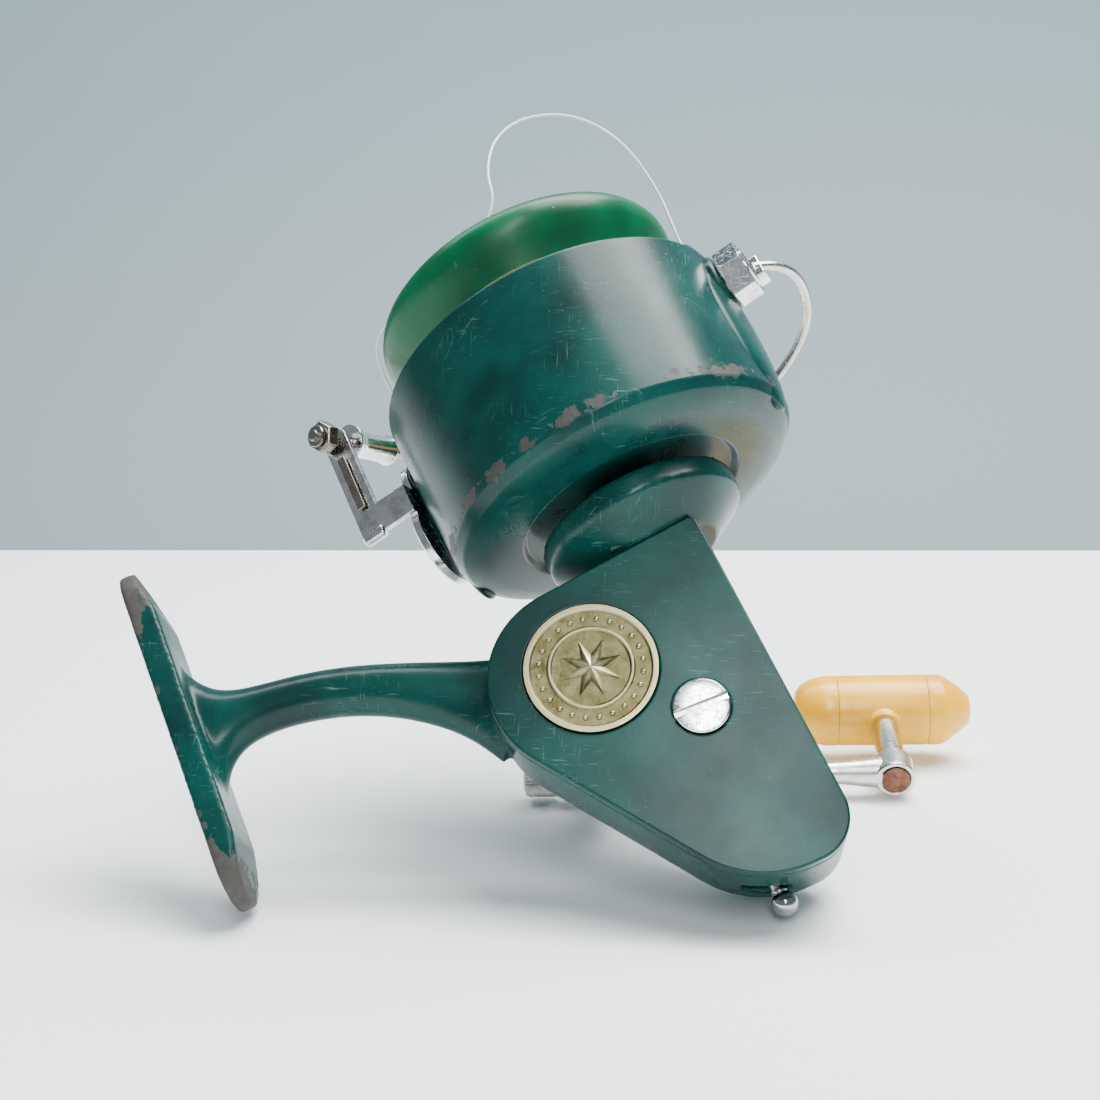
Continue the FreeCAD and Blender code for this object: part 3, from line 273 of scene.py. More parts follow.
class Value:
    """A socket of a finish, so that shader maths reads as arithmetic."""

    def __init__(self, finish, socket):
        self.finish = finish
        self.socket = socket

    def _math(self, operation, first, second):
        return self.finish.node("ShaderNodeMath", {"operation": operation}, {0: first, 1: second})

    def __add__(self, other):
        return self._math("ADD", self, other)

    def __radd__(self, other):
        return self._math("ADD", other, self)

    def __sub__(self, other):
        return self._math("SUBTRACT", self, other)

    def __rsub__(self, other):
        return self._math("SUBTRACT", other, self)

    def __mul__(self, other):
        return self._math("MULTIPLY", self, other)

    def __rmul__(self, other):
        return self._math("MULTIPLY", other, self)

    def __abs__(self):
        return self._math("ABSOLUTE", self, 0.0)

    def between(self, low, high):
        """Nought below low, one above high, and a smooth rise from one to the other."""
        return self.finish.node("ShaderNodeMapRange", {"interpolation_type": "SMOOTHSTEP"},
                                {0: self, 1: low, 2: high, 3: 0.0, 4: 1.0})


class Finish:
    """A material whose patterns are worked out from the piece's own coordinates."""

    def __init__(self, name, **constants):
        self.material = bpy.data.materials.new(name)
        self.material.use_nodes = True
        self.tree = self.material.node_tree
        self.shader = next(node for node in self.tree.nodes if node.type == "BSDF_PRINCIPLED")
        self.place = self.node("ShaderNodeTexCoord", {}, {}, "Object")
        for label, value in constants.items():
            self.shader.inputs[label.replace("_", " ")].default_value = value

    def node(self, kind, settings, inputs, output=0):
        item = self.tree.nodes.new(kind)
        for name, value in settings.items():
            setattr(item, name, value)
        for key, value in inputs.items():
            if isinstance(value, Value):
                self.tree.links.new(value.socket, item.inputs[key])
            else:
                item.inputs[key].default_value = value
        return Value(self, item.outputs[output])

    def feed(self, **values):
        for label, value in values.items():
            self.tree.links.new(value.socket, self.shader.inputs[label.replace("_", " ")])
        return self.material

    def noise(self, scale, detail=3.0, stretch=(1, 1, 1), turn=(0, 0, 0), rough=0.55):
        place = self.node("ShaderNodeMapping", {}, {"Vector": self.place, "Scale": stretch, "Rotation": turn})
        return self.node("ShaderNodeTexNoise", {}, {"Vector": place, "Scale": scale, "Detail": detail,
                                                    "Roughness": rough})

    def cells(self, scale):
        return self.node("ShaderNodeTexVoronoi", {}, {"Vector": self.place, "Scale": scale})

    def mixed(self, factor, first, second):
        return self.node("ShaderNodeMix", {"data_type": "RGBA"}, {0: factor, 6: first, 7: second}, 2)

    def reach(self, axes, column):
        """Distance along one axis of a frame, in millimetres."""
        axis = axes.col[column].to_3d() / MM / MM
        start = axes.inverted().translation[column]
        return self.node("ShaderNodeVectorMath", {"operation": "DOT_PRODUCT"},
                         {0: self.place, 1: axis}, "Value") + start

    def scratches(self, low=0.66, high=0.72):
        """Fine straight scratches in three directions."""
        first = self.noise(1.0, 2.0, (170, 5200, 170), (0.3, 0.5, 0.9)).between(low, high)
        second = self.noise(1.0, 2.0, (4700, 200, 200), (0.9, 0.2, 0.4)).between(low, high)
        third = self.noise(1.0, 2.0, (260, 260, 4300), (0.5, 1.1, 0.1)).between(low, high)
        return first + second + third

    def bumped(self, height, distance, strength=0.5):
        return self.node("ShaderNodeBump", {}, {"Strength": strength, "Distance": distance, "Height": height})


BARE_METAL = (0.050, 0.048, 0.044, 1.0)
WORN_METAL = (0.090, 0.086, 0.079, 1.0)
DUST = (0.20, 0.34, 0.32, 1.0)


def enamel(name, wear):
    """Glossy teal enamel with scratches and dust, worn to grey metal where wear says."""
    colours = bpy.context.scene.reel_finish
    finish = Finish(name, Coat_Roughness=0.16, IOR=1.5, Specular_IOR_Level=0.20)
    cloud = finish.noise(55, 5).between(0.3, 0.7)
    paint = finish.mixed(cloud, (*colours.enamel_deep, 1.0), (*colours.enamel, 1.0))
    marks = finish.scratches(0.65, 0.74) * finish.noise(50, 2).between(0.40, 0.66)
    specks = (1.0 - finish.cells(800).between(0.04, 0.10)) * finish.noise(160, 2).between(0.55, 0.62)
    dusty = finish.mixed((marks * 0.38 + specks * 0.55) * colours.wear, paint, DUST)
    grain = finish.noise(420, 6, rough=0.7) * 0.42 + finish.noise(95, 3) * 0.58
    chips = (grain + wear(finish)).between(0.70, 0.735)
    colour = finish.mixed(chips, dusty, finish.mixed(finish.noise(700, 4), BARE_METAL, WORN_METAL))
    rough = finish.noise(120, 4) * 0.20 + 0.19 + marks * 0.2 + chips * 0.30
    height = finish.noise(620, 3) * 0.10 - chips * 0.6 - marks * 0.12
    return finish.feed(Base_Color=colour, Roughness=rough, Metallic=chips * 0.5,
                       Coat_Weight=0.08 * (1.0 - chips), Normal=finish.bumped(height, 0.00012, 0.6))


def rotor_wear(finish):
    """The lower shoulder is rubbed bare in a band, and the rim a little."""
    height = finish.reach(SPOOL, 2)
    band = 1.0 - abs(height - 36.4).between(0.4, 3.6)
    rim = height.between(67.6, 68.8)
    return band * 0.24 + rim * 0.10 - 0.04


def case_wear(finish):
    """Foot ends and the foot's edge are bare, the stem and case in patches."""
    across = finish.reach(REEL, 0)
    ahead = finish.reach(REEL, 2)
    on_foot = 1.0 - across.between(-70.5, -66.0)
    ends = ahead.between(44.0, 53.0) + (1.0 - ahead.between(-5.0, 3.0))
    back = 1.0 - across.between(-74.5, -71.6)
    patch = 1.0 - abs(across + 48.0).between(2.0, 8.0)
    return on_foot * ends * 0.30 + back * 0.20 + patch * 0.15 - 0.04


def plate_wear(finish):
    """The long straight edge and the rear corner are rubbed."""
    across = finish.reach(REEL, 0)
    ahead = finish.reach(REEL, 2)
    return across.between(28.6, 29.9) * 0.20 + (1.0 - ahead.between(-48.0, -45.6)) * 0.16 - 0.06


def spool_plastic():
    colours = bpy.context.scene.reel_finish
    finish = Finish("green_spool_plastic", Coat_Weight=0.04, Coat_Roughness=0.2, IOR=1.5,
                    Specular_IOR_Level=0.22)
    cloud = finish.noise(60, 4).between(0.3, 0.7)
    colour = finish.mixed(cloud, (0.0, 0.055, 0.022, 1.0), (*colours.spool_green, 1.0))
    nicks = finish.noise(380, 5, rough=0.7).between(0.66, 0.70)
    worn = finish.mixed(nicks * 0.5, colour, (0.10, 0.42, 0.28, 1.0))
    height = finish.noise(300, 4) * 0.3 - nicks
    return finish.feed(Base_Color=worn, Roughness=finish.noise(140, 3) * 0.2 + 0.22,
                       Normal=finish.bumped(height, 0.00015, 0.5))


def metal(name, colour, dark, roughness, pitting=0.0, scale=260):
    """Plated or bare metal: tarnish clouds, fine scratches and pits."""
    finish = Finish(name, Metallic=1.0)
    cloud = finish.noise(scale, 5, rough=0.65).between(0.42, 0.68)
    pits = finish.noise(scale * 5, 4, rough=0.7).between(0.62 - 0.08 * pitting, 0.67)
    marks = finish.scratches(0.62, 0.70)
    tone = finish.mixed(cloud * 0.55 + pits * pitting, colour, dark)
    rough = cloud * 0.14 + roughness + marks * 0.12 + pits * (0.3 * pitting)
    height = finish.noise(scale * 3, 3) * 0.15 - pits * pitting - marks * 0.2
    return finish.feed(Base_Color=tone, Roughness=rough, Normal=finish.bumped(height, 0.00005, 0.4))


def antique_brass():
    finish = Finish("antique_brass", Metallic=1.0)
    height = finish.reach(BADGE, 2)
    raised = height.between(0.12, 0.62)
    cloud = finish.noise(330, 5, rough=0.7).between(0.35, 0.7)
    low = finish.mixed(cloud, (0.105, 0.090, 0.036, 1.0), (0.235, 0.205, 0.105, 1.0))
    colour = finish.mixed(raised, low, (0.52, 0.46, 0.26, 1.0))
    return finish.feed(Base_Color=colour, Roughness=cloud * 0.16 + 0.30,
                       Normal=finish.bumped(finish.noise(1500, 4), 0.00006, 0.5))


def amber_plastic():
    colours = bpy.context.scene.reel_finish
    finish = Finish("amber_plastic", Coat_Weight=0.2, Coat_Roughness=0.1, IOR=1.5, Specular_IOR_Level=0.4)
    cloud = finish.noise(90, 4).between(0.3, 0.75)
    colour = finish.mixed(cloud, (*colours.amber, 1.0), (0.86, 0.38, 0.0, 1.0))
    grime = (finish.noise(240, 5, rough=0.7).between(0.58, 0.72)) * 0.35
    dirty = finish.mixed(grime, colour, (0.40, 0.16, 0.03, 1.0))
    return finish.feed(Base_Color=dirty, Roughness=finish.noise(150, 3) * 0.2 + 0.2,
                       Normal=finish.bumped(finish.noise(260, 3), 0.0001, 0.35))


def wound_nylon():
    finish = Finish("wound_nylon", Coat_Weight=0.2, Coat_Roughness=0.2)
    height = finish.reach(SPOOL, 2)
    # Dark and light bands at the winding pitch: painted shade in the grooves between turns and a painted
    # highlight on their crowns.
    strand_shade_and_highlight = finish.node("ShaderNodeMath", {"operation": "SINE"}, {0: height * 14.0})
    colour = finish.mixed(strand_shade_and_highlight * 0.5 + 0.5, (0.20, 0.085, 0.018, 1.0), (0.66, 0.37, 0.10, 1.0))
    return finish.feed(Base_Color=colour, Roughness=finish.noise(400, 2) * 0.2 + 0.25)


def clear_nylon():
    finish = Finish("clear_nylon", Coat_Weight=0.3, IOR=1.5)
    colour = finish.mixed(finish.noise(90, 2), (0.70, 0.72, 0.66, 1.0), (0.90, 0.91, 0.86, 1.0))
    return finish.feed(Base_Color=colour, Roughness=finish.noise(300, 2) * 0.1 + 0.15)


def felt():
    finish = Finish("oiled_felt")
    colour = finish.mixed(finish.noise(900, 5), (0.13, 0.10, 0.07, 1.0), (0.30, 0.25, 0.19, 1.0))
    return finish.feed(Base_Color=colour, Roughness=finish.noise(500, 3) * 0.2 + 0.75)


def paper(name, near, far, low, high):
    """Plain matt card whose tone shifts slowly with height; on the backdrop this shift is painted shading,
    pale low and dark high.
    """
    finish = Finish(name, Roughness=0.85)
    height = finish.node("ShaderNodeSeparateXYZ", {}, {0: finish.place}, 2)
    colour = finish.mixed(height.between(low, high), near, far)
    return finish.feed(Base_Color=colour)


def make_finishes():
    return {
        "rotor": enamel("green_enamel_rotor", rotor_wear),
        "case": enamel("green_enamel_case", case_wear),
        "plate": enamel("green_enamel_plate", plate_wear),
        "spool": spool_plastic(),
        "brass": antique_brass(),
        "chrome": metal("bright_chrome", (0.78, 0.79, 0.79, 1.0), (0.24, 0.235, 0.22, 1.0), 0.10, 0.35),
        "dark": metal("tarnished_steel", (0.34, 0.32, 0.285, 1.0), (0.09, 0.075, 0.055, 1.0), 0.22, 0.5),
        "nickel": metal("aged_nickel", (0.70, 0.685, 0.64, 1.0), (0.40, 0.37, 0.32, 1.0), 0.24, 0.15),
        "rust": metal("rusted_stud_end", (0.20, 0.095, 0.060, 1.0), (0.075, 0.035, 0.024, 1.0), 0.45, 0.7,
                      500),
        "ball": metal("polished_ball", (0.46, 0.47, 0.49, 1.0), (0.30, 0.30, 0.31, 1.0), 0.05, 0.05),
        "steel": metal("turned_steel", (0.62, 0.61, 0.58, 1.0), (0.38, 0.36, 0.32, 1.0), 0.20, 0.15),
        "gear": metal("gear_bronze", (0.60, 0.40, 0.17, 1.0), (0.30, 0.18, 0.07, 1.0), 0.28, 0.1),
        "amber": amber_plastic(),
        "gold": wound_nylon(),
        "clear": clear_nylon(),
        "felt": felt(),
    }


FINISHES = {}
SLOT_FINISH = {
    "green_enamel": "case", "green_plastic": "spool", "antique_brass": "brass", "bright_chrome": "chrome",
    "dark_steel": "dark", "nickel_arm": "nickel", "polished_ball": "ball", "turned_steel": "steel",
    "gear_brass": "gear", "amber_plastic": "amber", "gold_line": "gold", "clear_line": "clear",
    "drag_felt": "felt",
}


# ---- sizes and colours that a user would change --------------------------------------------------

class ReelFinish(bpy.types.PropertyGroup):
    enamel: FloatVectorProperty(name="Enamel", description="Main enamel colour", subtype="COLOR",
                                default=(0.0, 0.050, 0.042), min=0.0, max=1.0)
    enamel_deep: FloatVectorProperty(name="Deep enamel", description="Darker clouds in the enamel",
                                     subtype="COLOR",
                                     default=(0.0, 0.020, 0.019), min=0.0, max=1.0)
    spool_green: FloatVectorProperty(name="Spool", description="Moulded spool colour", subtype="COLOR",
                                     default=(0.0, 0.110, 0.042), min=0.0, max=1.0)
    amber: FloatVectorProperty(name="Knob", description="Knob plastic colour", subtype="COLOR",
                               default=(0.95, 0.50, 0.0), min=0.0, max=1.0)
    wear: FloatProperty(name="Wear", description="Strength of scratches and dust", default=0.75,
                        min=0.0, max=1.0, subtype="FACTOR")


class ReelShapes(bpy.types.PropertyGroup):
    edge: FloatProperty(name="Edge", description="Rounding of machined edges, in millimetres", default=0.25,
                        min=0.05, max=0.6)
    cast_voxel: FloatProperty(name="Casting grain", description="Fineness of the softened casting",
                              default=0.00058,
                              min=0.0004, max=0.002, precision=5, unit="LENGTH")
    knurls: IntProperty(name="Knurls", description="Ridges round the lock nut", default=40, min=12, max=80)


# ---- operators: one for each piece or group of like pieces ---------------------------------------

class REEL_OT_inner_works(bpy.types.Operator):
    """Gives every frame node the finish of its own material slot"""
    bl_idname = "reel.inner_works"
    bl_label = "Inner works"

    def execute(self, context):
        slots = {part["node"]: part["material_slot"] for part in frame["record"]["subparts"]}
        for name, node in frame["nodes"].items():
            node.data.materials.clear()
            node.data.materials.append(FINISHES[SLOT_FINISH[slots[name]]])
        return {"FINISHED"}


class REEL_OT_case(bpy.types.Operator):
    """Models the cast case with its stem and foot, its edges softened as a casting's are"""
    bl_idname = "reel.case"
    bl_label = "Case, stem and foot"

    def execute(self, context):
        shapes = context.scene.reel_shapes
        case = copied("housing")
        modified(case, "REMESH", mode="VOXEL", voxel_size=shapes.cast_voxel, use_smooth_shade=True)
        modified(case, "SMOOTH", factor=0.5, iterations=5)
        ridge = slab((15.0, 4.4, 2.6), (20.4, 2.8, 21.0))
        groove = slab((12.5, 0.9, 1.4), (20.8, 1.9, 22.3))
        ridge = moved(eased(carved(ridge, groove), 0.3), REEL)
        finished(joined(case, ridge), "reel_case", "frame", FINISHES["case"],
                 ("housing",), 60)
        return {"FINISHED"}


class REEL_OT_plate(bpy.types.Operator):
    """Models the side plate with its softened edge"""
    bl_idname = "reel.plate"
    bl_label = "Side plate"

    def execute(self, context):
        plate = eased(copied("side_plate"), 0.0005)
        finished(plate, "reel_side_plate", "frame", FINISHES["plate"], ("side_plate",))
        return {"FINISHED"}


STAR_RADIUS = 6.4
STAR_HEIGHT = 0.85
STAR_MIDDLE = 0.44
STAR_WAIST = 0.42
BEADS = 24
BEAD_RADIUS = 0.55
BEAD_CIRCLE = 9.45


class REEL_OT_badge(bpy.types.Operator):
    """Models the round brass plaque: raised rim, inner ring, an eight-pointed star and beads"""
    bl_idname = "reel.badge"
    bl_label = "Badge"

    def execute(self, context):
        disc = eased(lathed([(0.1, -0.95), (12.2, -0.95), (12.2, 0.5), (11.2, 0.5), (10.9, 0.08), (8.0, 0.08),
                             (7.8, 0.4), (7.3, 0.4), (7.1, 0.08), (0.1, 0.08)], bored=False), 0.08, 2)
        nothing_selected()
        bpy.ops.mesh.primitive_cone_add(vertices=16, radius1=STAR_RADIUS, radius2=0.0, depth=STAR_HEIGHT,
                                        location=(0, 0, STAR_MIDDLE))
        star = bpy.context.object
        bpy.ops.object.transform_apply(location=True, rotation=True, scale=True)
        bpy.ops.object.mode_set(mode="EDIT")
        bpy.ops.mesh.select_all(action="DESELECT")
        bpy.ops.object.mode_set(mode="OBJECT")
        rims = [vertex for vertex in star.data.vertices if math.hypot(vertex.co.x, vertex.co.y) > 1.0]
        rims.sort(key=lambda vertex: math.atan2(vertex.co.y, vertex.co.x))
        for vertex in rims[::2]:
            vertex.select = True
        bpy.ops.object.mode_set(mode="EDIT")
        bpy.ops.transform.resize(value=(STAR_WAIST, STAR_WAIST, 1), center_override=(0, 0, 0))
        bpy.ops.object.mode_set(mode="OBJECT")
        beads = []
        for number in range(BEADS):
            angle = 2 * math.pi * number / BEADS
            spot = (BEAD_CIRCLE * math.cos(angle), BEAD_CIRCLE * math.sin(angle), 0.0)
            nothing_selected()
            bpy.ops.mesh.primitive_uv_sphere_add(segments=12, ring_count=8, radius=BEAD_RADIUS, location=spot)
            bpy.ops.object.transform_apply(location=True, rotation=True, scale=True)
            beads.append(bpy.context.object)
        badge = moved(joined(disc, star, *beads), BADGE)
        finished(badge, "brass_badge", "frame", FINISHES["brass"], ("badge",), 30)
        return {"FINISHED"}


class REEL_OT_plate_screw(bpy.types.Operator):
    """Models the slotted screw that holds the side plate"""
    bl_idname = "reel.plate_screw"
    bl_label = "Plate screw"

    def execute(self, context):
        screw = lathed([(1.9, -9.9), (2.0, -9.6), (2.0, -0.95), (5.1, -0.95), (5.1, 0.62), (4.8, 0.90),
                        (3.0, 1.0)],
                       64, bored=False)
        slot = moved(slab((11.0, 1.25, 1.6), (0, 0, 0.9)), turned_about("Z", -3))
        eased(carved(screw, slot), 0.08, 2)
        finished(moved(screw, SCREW), "slotted_plate_screw", "frame", FINISHES["chrome"],
                 ("plate_screw",))
        return {"FINISHED"}


PAD_HALF_SIZE = (21.0, 9.6, 3.1)
PAD_BELOW_BAIL = 9.0
PAD_REACH = 34.6


class REEL_OT_rotor(bpy.types.Operator):
    """Models the rotor cup with its rubbed shoulder, the two bosses and the pads that carry them"""
    bl_idname = "reel.rotor"
    bl_label = "Rotor"

    def execute(self, context):
        cup = lathed([(4.1, 29.8), (7.0, 29.8), (7.0, 33.0), (22.0, 33.0), (23.0, 31.4), (29.0, 31.5),
                      (32.6, 32.1),
                      (34.8, 33.3), (36.0, 35.2), (37.0, 67.8), (36.7, 68.6), (36.2, 68.8), (34.6, 68.8),
                      (33.6, 40.6), (31.6, 38.6), (8.5, 38.6), (8.5, 45.5), (4.1, 45.5)], 160)
        eased(cup, 0.35, 3, 25)
        parts = [cup]
        for side in (0, 180):
            boss = lathed([(0.1, 35.2), (6.4, 35.2), (6.4, 37.0), (6.1, 37.6), (5.4, 37.85), (2.1, 37.85)],
                          64,
                          bored=False)
            place = (shifted(0, 0, BAIL_HEIGHT) @ turned_about("Z", math.degrees(BAIL_TURN) + side)
                     @ turned_about("Y", 90))
            parts.append(moved(eased(boss, 0.2), place))
            nothing_selected()
            bpy.ops.mesh.primitive_uv_sphere_add(segments=64, ring_count=32, radius=1.0)
            pad = bpy.context.object
            pad.scale = PAD_HALF_SIZE
            bpy.ops.object.transform_apply(location=True, rotation=True, scale=True)
            lean = shifted(0, 0, BAIL_HEIGHT - PAD_BELOW_BAIL) @ turned_about("Z",
                                                                              math.degrees(BAIL_TURN) + side)
            parts.append(moved(pad, lean @ shifted(PAD_REACH, 0, 0) @ turned_about("Y", 90)))
        rotor = moved(joined(*parts), SPOOL)
        finished(rotor, "rotor_cup", "rotor", FINISHES["rotor"], ("rotor",), 40)
        return {"FINISHED"}


WINDING_FOOT = 52.1
WINDING_TOP = 73.2
WINDING_PITCH = 0.45
WINDING_TURNS = 42


class REEL_OT_spool(bpy.types.Operator):
    """Models the moulded spool with its thick rounded lip, and the line wound on it"""
    bl_idname = "reel.spool"
    bl_label = "Spool and winding"

    def execute(self, context):
        spool = lathed([(16.8, 50.0), (33.6, 50.0), (33.6, 52.0), (19.0, 52.0), (19.0, 71.2), (26.6, 71.2),
                        (27.4, 73.0), (30.2, 78.4), (31.6, 80.2), (32.3, 82.4), (32.2, 84.0), (31.5, 85.6),
                        (30.2, 86.6),
                        (28.4, 87.0), (25.3, 86.8), (14.6, 84.6), (13.6, 83.6), (13.6, 68.0), (2.1, 68.0),
                        (2.1, 64.0), (16.8, 64.0)], 160)
        finished(moved(eased(spool, 0.4, 3, 25), SPOOL), "green_spool", "spool",
                 FINISHES["spool"], ("spool",), 45)
        winding = [(19.1, WINDING_FOOT)]
        for turn in range(WINDING_TURNS):
            low = WINDING_FOOT + WINDING_PITCH * turn
            winding += [(30.38, low), (30.12, WINDING_FOOT + WINDING_PITCH * (turn + 0.5))]
        winding += [(30.42, 72.5), (30.0, WINDING_TOP), (26.0, WINDING_TOP), (26.0, 71.1), (19.1, 71.1)]
        finished(moved(lathed(winding, 128), SPOOL), "wound_nylon_line", "spool",
                 FINISHES["gold"],
                 ("wound_line",), 60)
        return {"FINISHED"}


class REEL_OT_line_loop(bpy.types.Operator):
    """Models the loose turn of line thrown off the spool"""
    bl_idname = "reel.line_loop"
    bl_label = "Loose line"

    def execute(self, context):
        route = [(29.2, -8.6, 69.8), (31.8, -10.2, 72.4), (32.2, -11.0, 79.0), (33.2, -12.4, 90.0),
                 (31.0, -16.0, 102.0), (24.6, -17.6, 111.6), (15.0, -18.0, 115.8), (6.6, -20.4, 111.6),
                 (1.4, -22.6, 102.6), (0.2, -22.8, 94.6), (-6.0, -20.6, 89.4), (-17.0, -14.8, 88.4),
                 (-27.6, -9.0, 88.6), (-33.4, -5.4, 85.6), (-33.7, -3.0, 79.0), (-33.3, -1.6, 72.6),
                 (-30.4, -0.8, 69.8)]
        line = nurbs_tube(route, 0.28, SPOOL)
        finished(line, "loose_nylon_loop", "spool", FINISHES["clear"], ("line_loop",))
        return {"FINISHED"}


class REEL_OT_bail_wire(bpy.types.Operator):
    """Models the stainless bail wire between block and roller"""
    bl_idname = "reel.bail_wire"
    bl_label = "Bail wire"

    def execute(self, context):
        end = BAIL.inverted() @ ROLLER @ Vector((0, 0, ROLLER_END))
        route = [(43.8, 1.0, 0.0), (48.4, 4.4, -0.4), (50.0, 14.5, -2.2), (45.4, 27.0, -4.4),
                 (33.0, 38.6, -5.0),
                 (17.0, 46.0, -4.0), (0.0, 48.6, 0.0), (-18.0, 46.0, 6.0), (-32.0, 38.0, 11.0),
                 (-41.0, 26.0, 15.0),
                 (end.x + 1.6, end.y + 5.0, end.z), tuple(end)]
        wire = nurbs_tube(route, 0.95, BAIL)
        bpy.ops.object.convert(target="MESH")
        finished(wire, "bail_wire_bow", "bail", FINISHES["steel"], ("bail_wire",), 60)
        return {"FINISHED"}


class REEL_OT_bail_block(bpy.types.Operator):
    """Models the chromed block at the wire's fixed end and its ringed face"""
    bl_idname = "reel.bail_block"
    bl_label = "Bail block"

    def execute(self, context):
        block = lathed([(3.6, 38.2), (6.0, 38.2), (6.0, 43.0), (5.1, 43.25), (4.3, 43.25), (4.2, 43.0),
                        (4.0, 43.0), (3.9, 43.25), (3.6, 43.25)], 6)
        eased(block, 0.3)
        ring = lathed([(3.3, 43.0), (4.35, 43.0), (4.35, 43.5), (3.3, 43.5)], 48)
        seat = lathed([(2.1, 38.3), (3.7, 38.3), (3.7, 41.2), (2.1, 41.2)], 48)
        parts = [moved(part, turned_about("Y", 90)) for part in (block, ring, seat)]
        lug = eased(slab((3.2, 5.0, 4.6), (43.8, 3.4, 0.0)), 0.5)
        finished(moved(joined(*parts, lug), BAIL), "bail_block_chrome", "bail",
                 FINISHES["chrome"],
                 ("bail_block",))
        return {"FINISHED"}


SHELL_DROP = -13.5


class REEL_OT_bail_arm(bpy.types.Operator):
    """Models the bail arm: shell plate with its bright double rim, curled tab, and a dark sheet painted as
    the shade in the strap's slot
    """
    bl_idname = "reel.bail_arm"
    bl_label = "Bail arm"

    def execute(self, context):
        arm = eased(copied("bail_arm"), 0.00035)
        rims = []
        for radius, thickness, outward in ((8.9, 0.55, -39.6), (7.5, 0.35, -39.8)):
            nothing_selected()
            bpy.ops.mesh.primitive_torus_add(major_radius=radius, minor_radius=thickness, major_segments=96,
                                             minor_segments=16)
            rims.append(moved(bpy.context.object, shifted(outward, 0, SHELL_DROP) @ turned_about("Y", 90)))
        curl = eased(slab((5.4, 2.4, 2.6), (-48.2, -9.2, -8.4)), 0.9, 5)
        trim = moved(joined(*rims, curl), BAIL)
        finished(joined(arm, trim), "bail_arm_chrome", "bail", FINISHES["chrome"],
                 ("bail_arm",))
        # A thin dark steel sheet on the strap stands in for the shade inside its slot: painted shade, not a
        # cut.
        slot = eased(slab((2.0, 0.5, 13.0), (-48.2, -10.3, 4.6)), 0.22, 4)
        finished(moved(slot, BAIL), "strap_slot_shade_sheet", "bail", FINISHES["dark"])
        return {"FINISHED"}


class REEL_OT_roller(bpy.types.Operator):
    """Models the line roller with its cone shoulder, and the nut and stud end that hold it"""
    bl_idname = "reel.roller"
    bl_label = "Line roller"

    def execute(self, context):
        roller = lathed([(1.35, 4.2), (4.0, 4.2), (4.0, 4.7), (3.2, 6.6), (2.9, 7.4), (2.75, 10.6),
                         (2.9, 14.2),
                         (3.3, 15.6), (3.3, 16.1), (1.35, 16.1)], 64)
        finished(moved(eased(roller, 0.12), ROLLER), "polished_line_roller", "roller",
                 FINISHES["chrome"], ("line_roller",), 40)
        nut = lathed([(1.35, -4.4), (3.2, -4.4), (3.6, -4.0), (3.6, -1.8), (3.3, -1.4), (1.35, -1.4)], 6)
        finished(moved(eased(nut, 0.18), ROLLER), "roller_lock_nut", "bail", FINISHES["dark"],
                 ("roller_nut",))
        stud = lathed([(0.6, -6.4), (1.15, -6.2), (1.3, -5.9), (1.3, 16.2), (2.2, 16.6), (2.2, 17.6),
                       (1.3, 17.8),
                       (1.3, 20.2), (0.9, 20.4)], 40, bored=False)
        clip = lathed([(1.3, -5.4), (2.2, -5.4), (2.3, -5.2), (2.3, -4.8), (2.2, -4.6), (1.3, -4.6)], 40)
        finished(moved(joined(stud, clip), ROLLER), "roller_stud", "bail", FINISHES["dark"],
                 ("roller_pin",))
        return {"FINISHED"}


LOCK_NUT_SPOT = -12.4
KNURL_DEPTH = 0.955


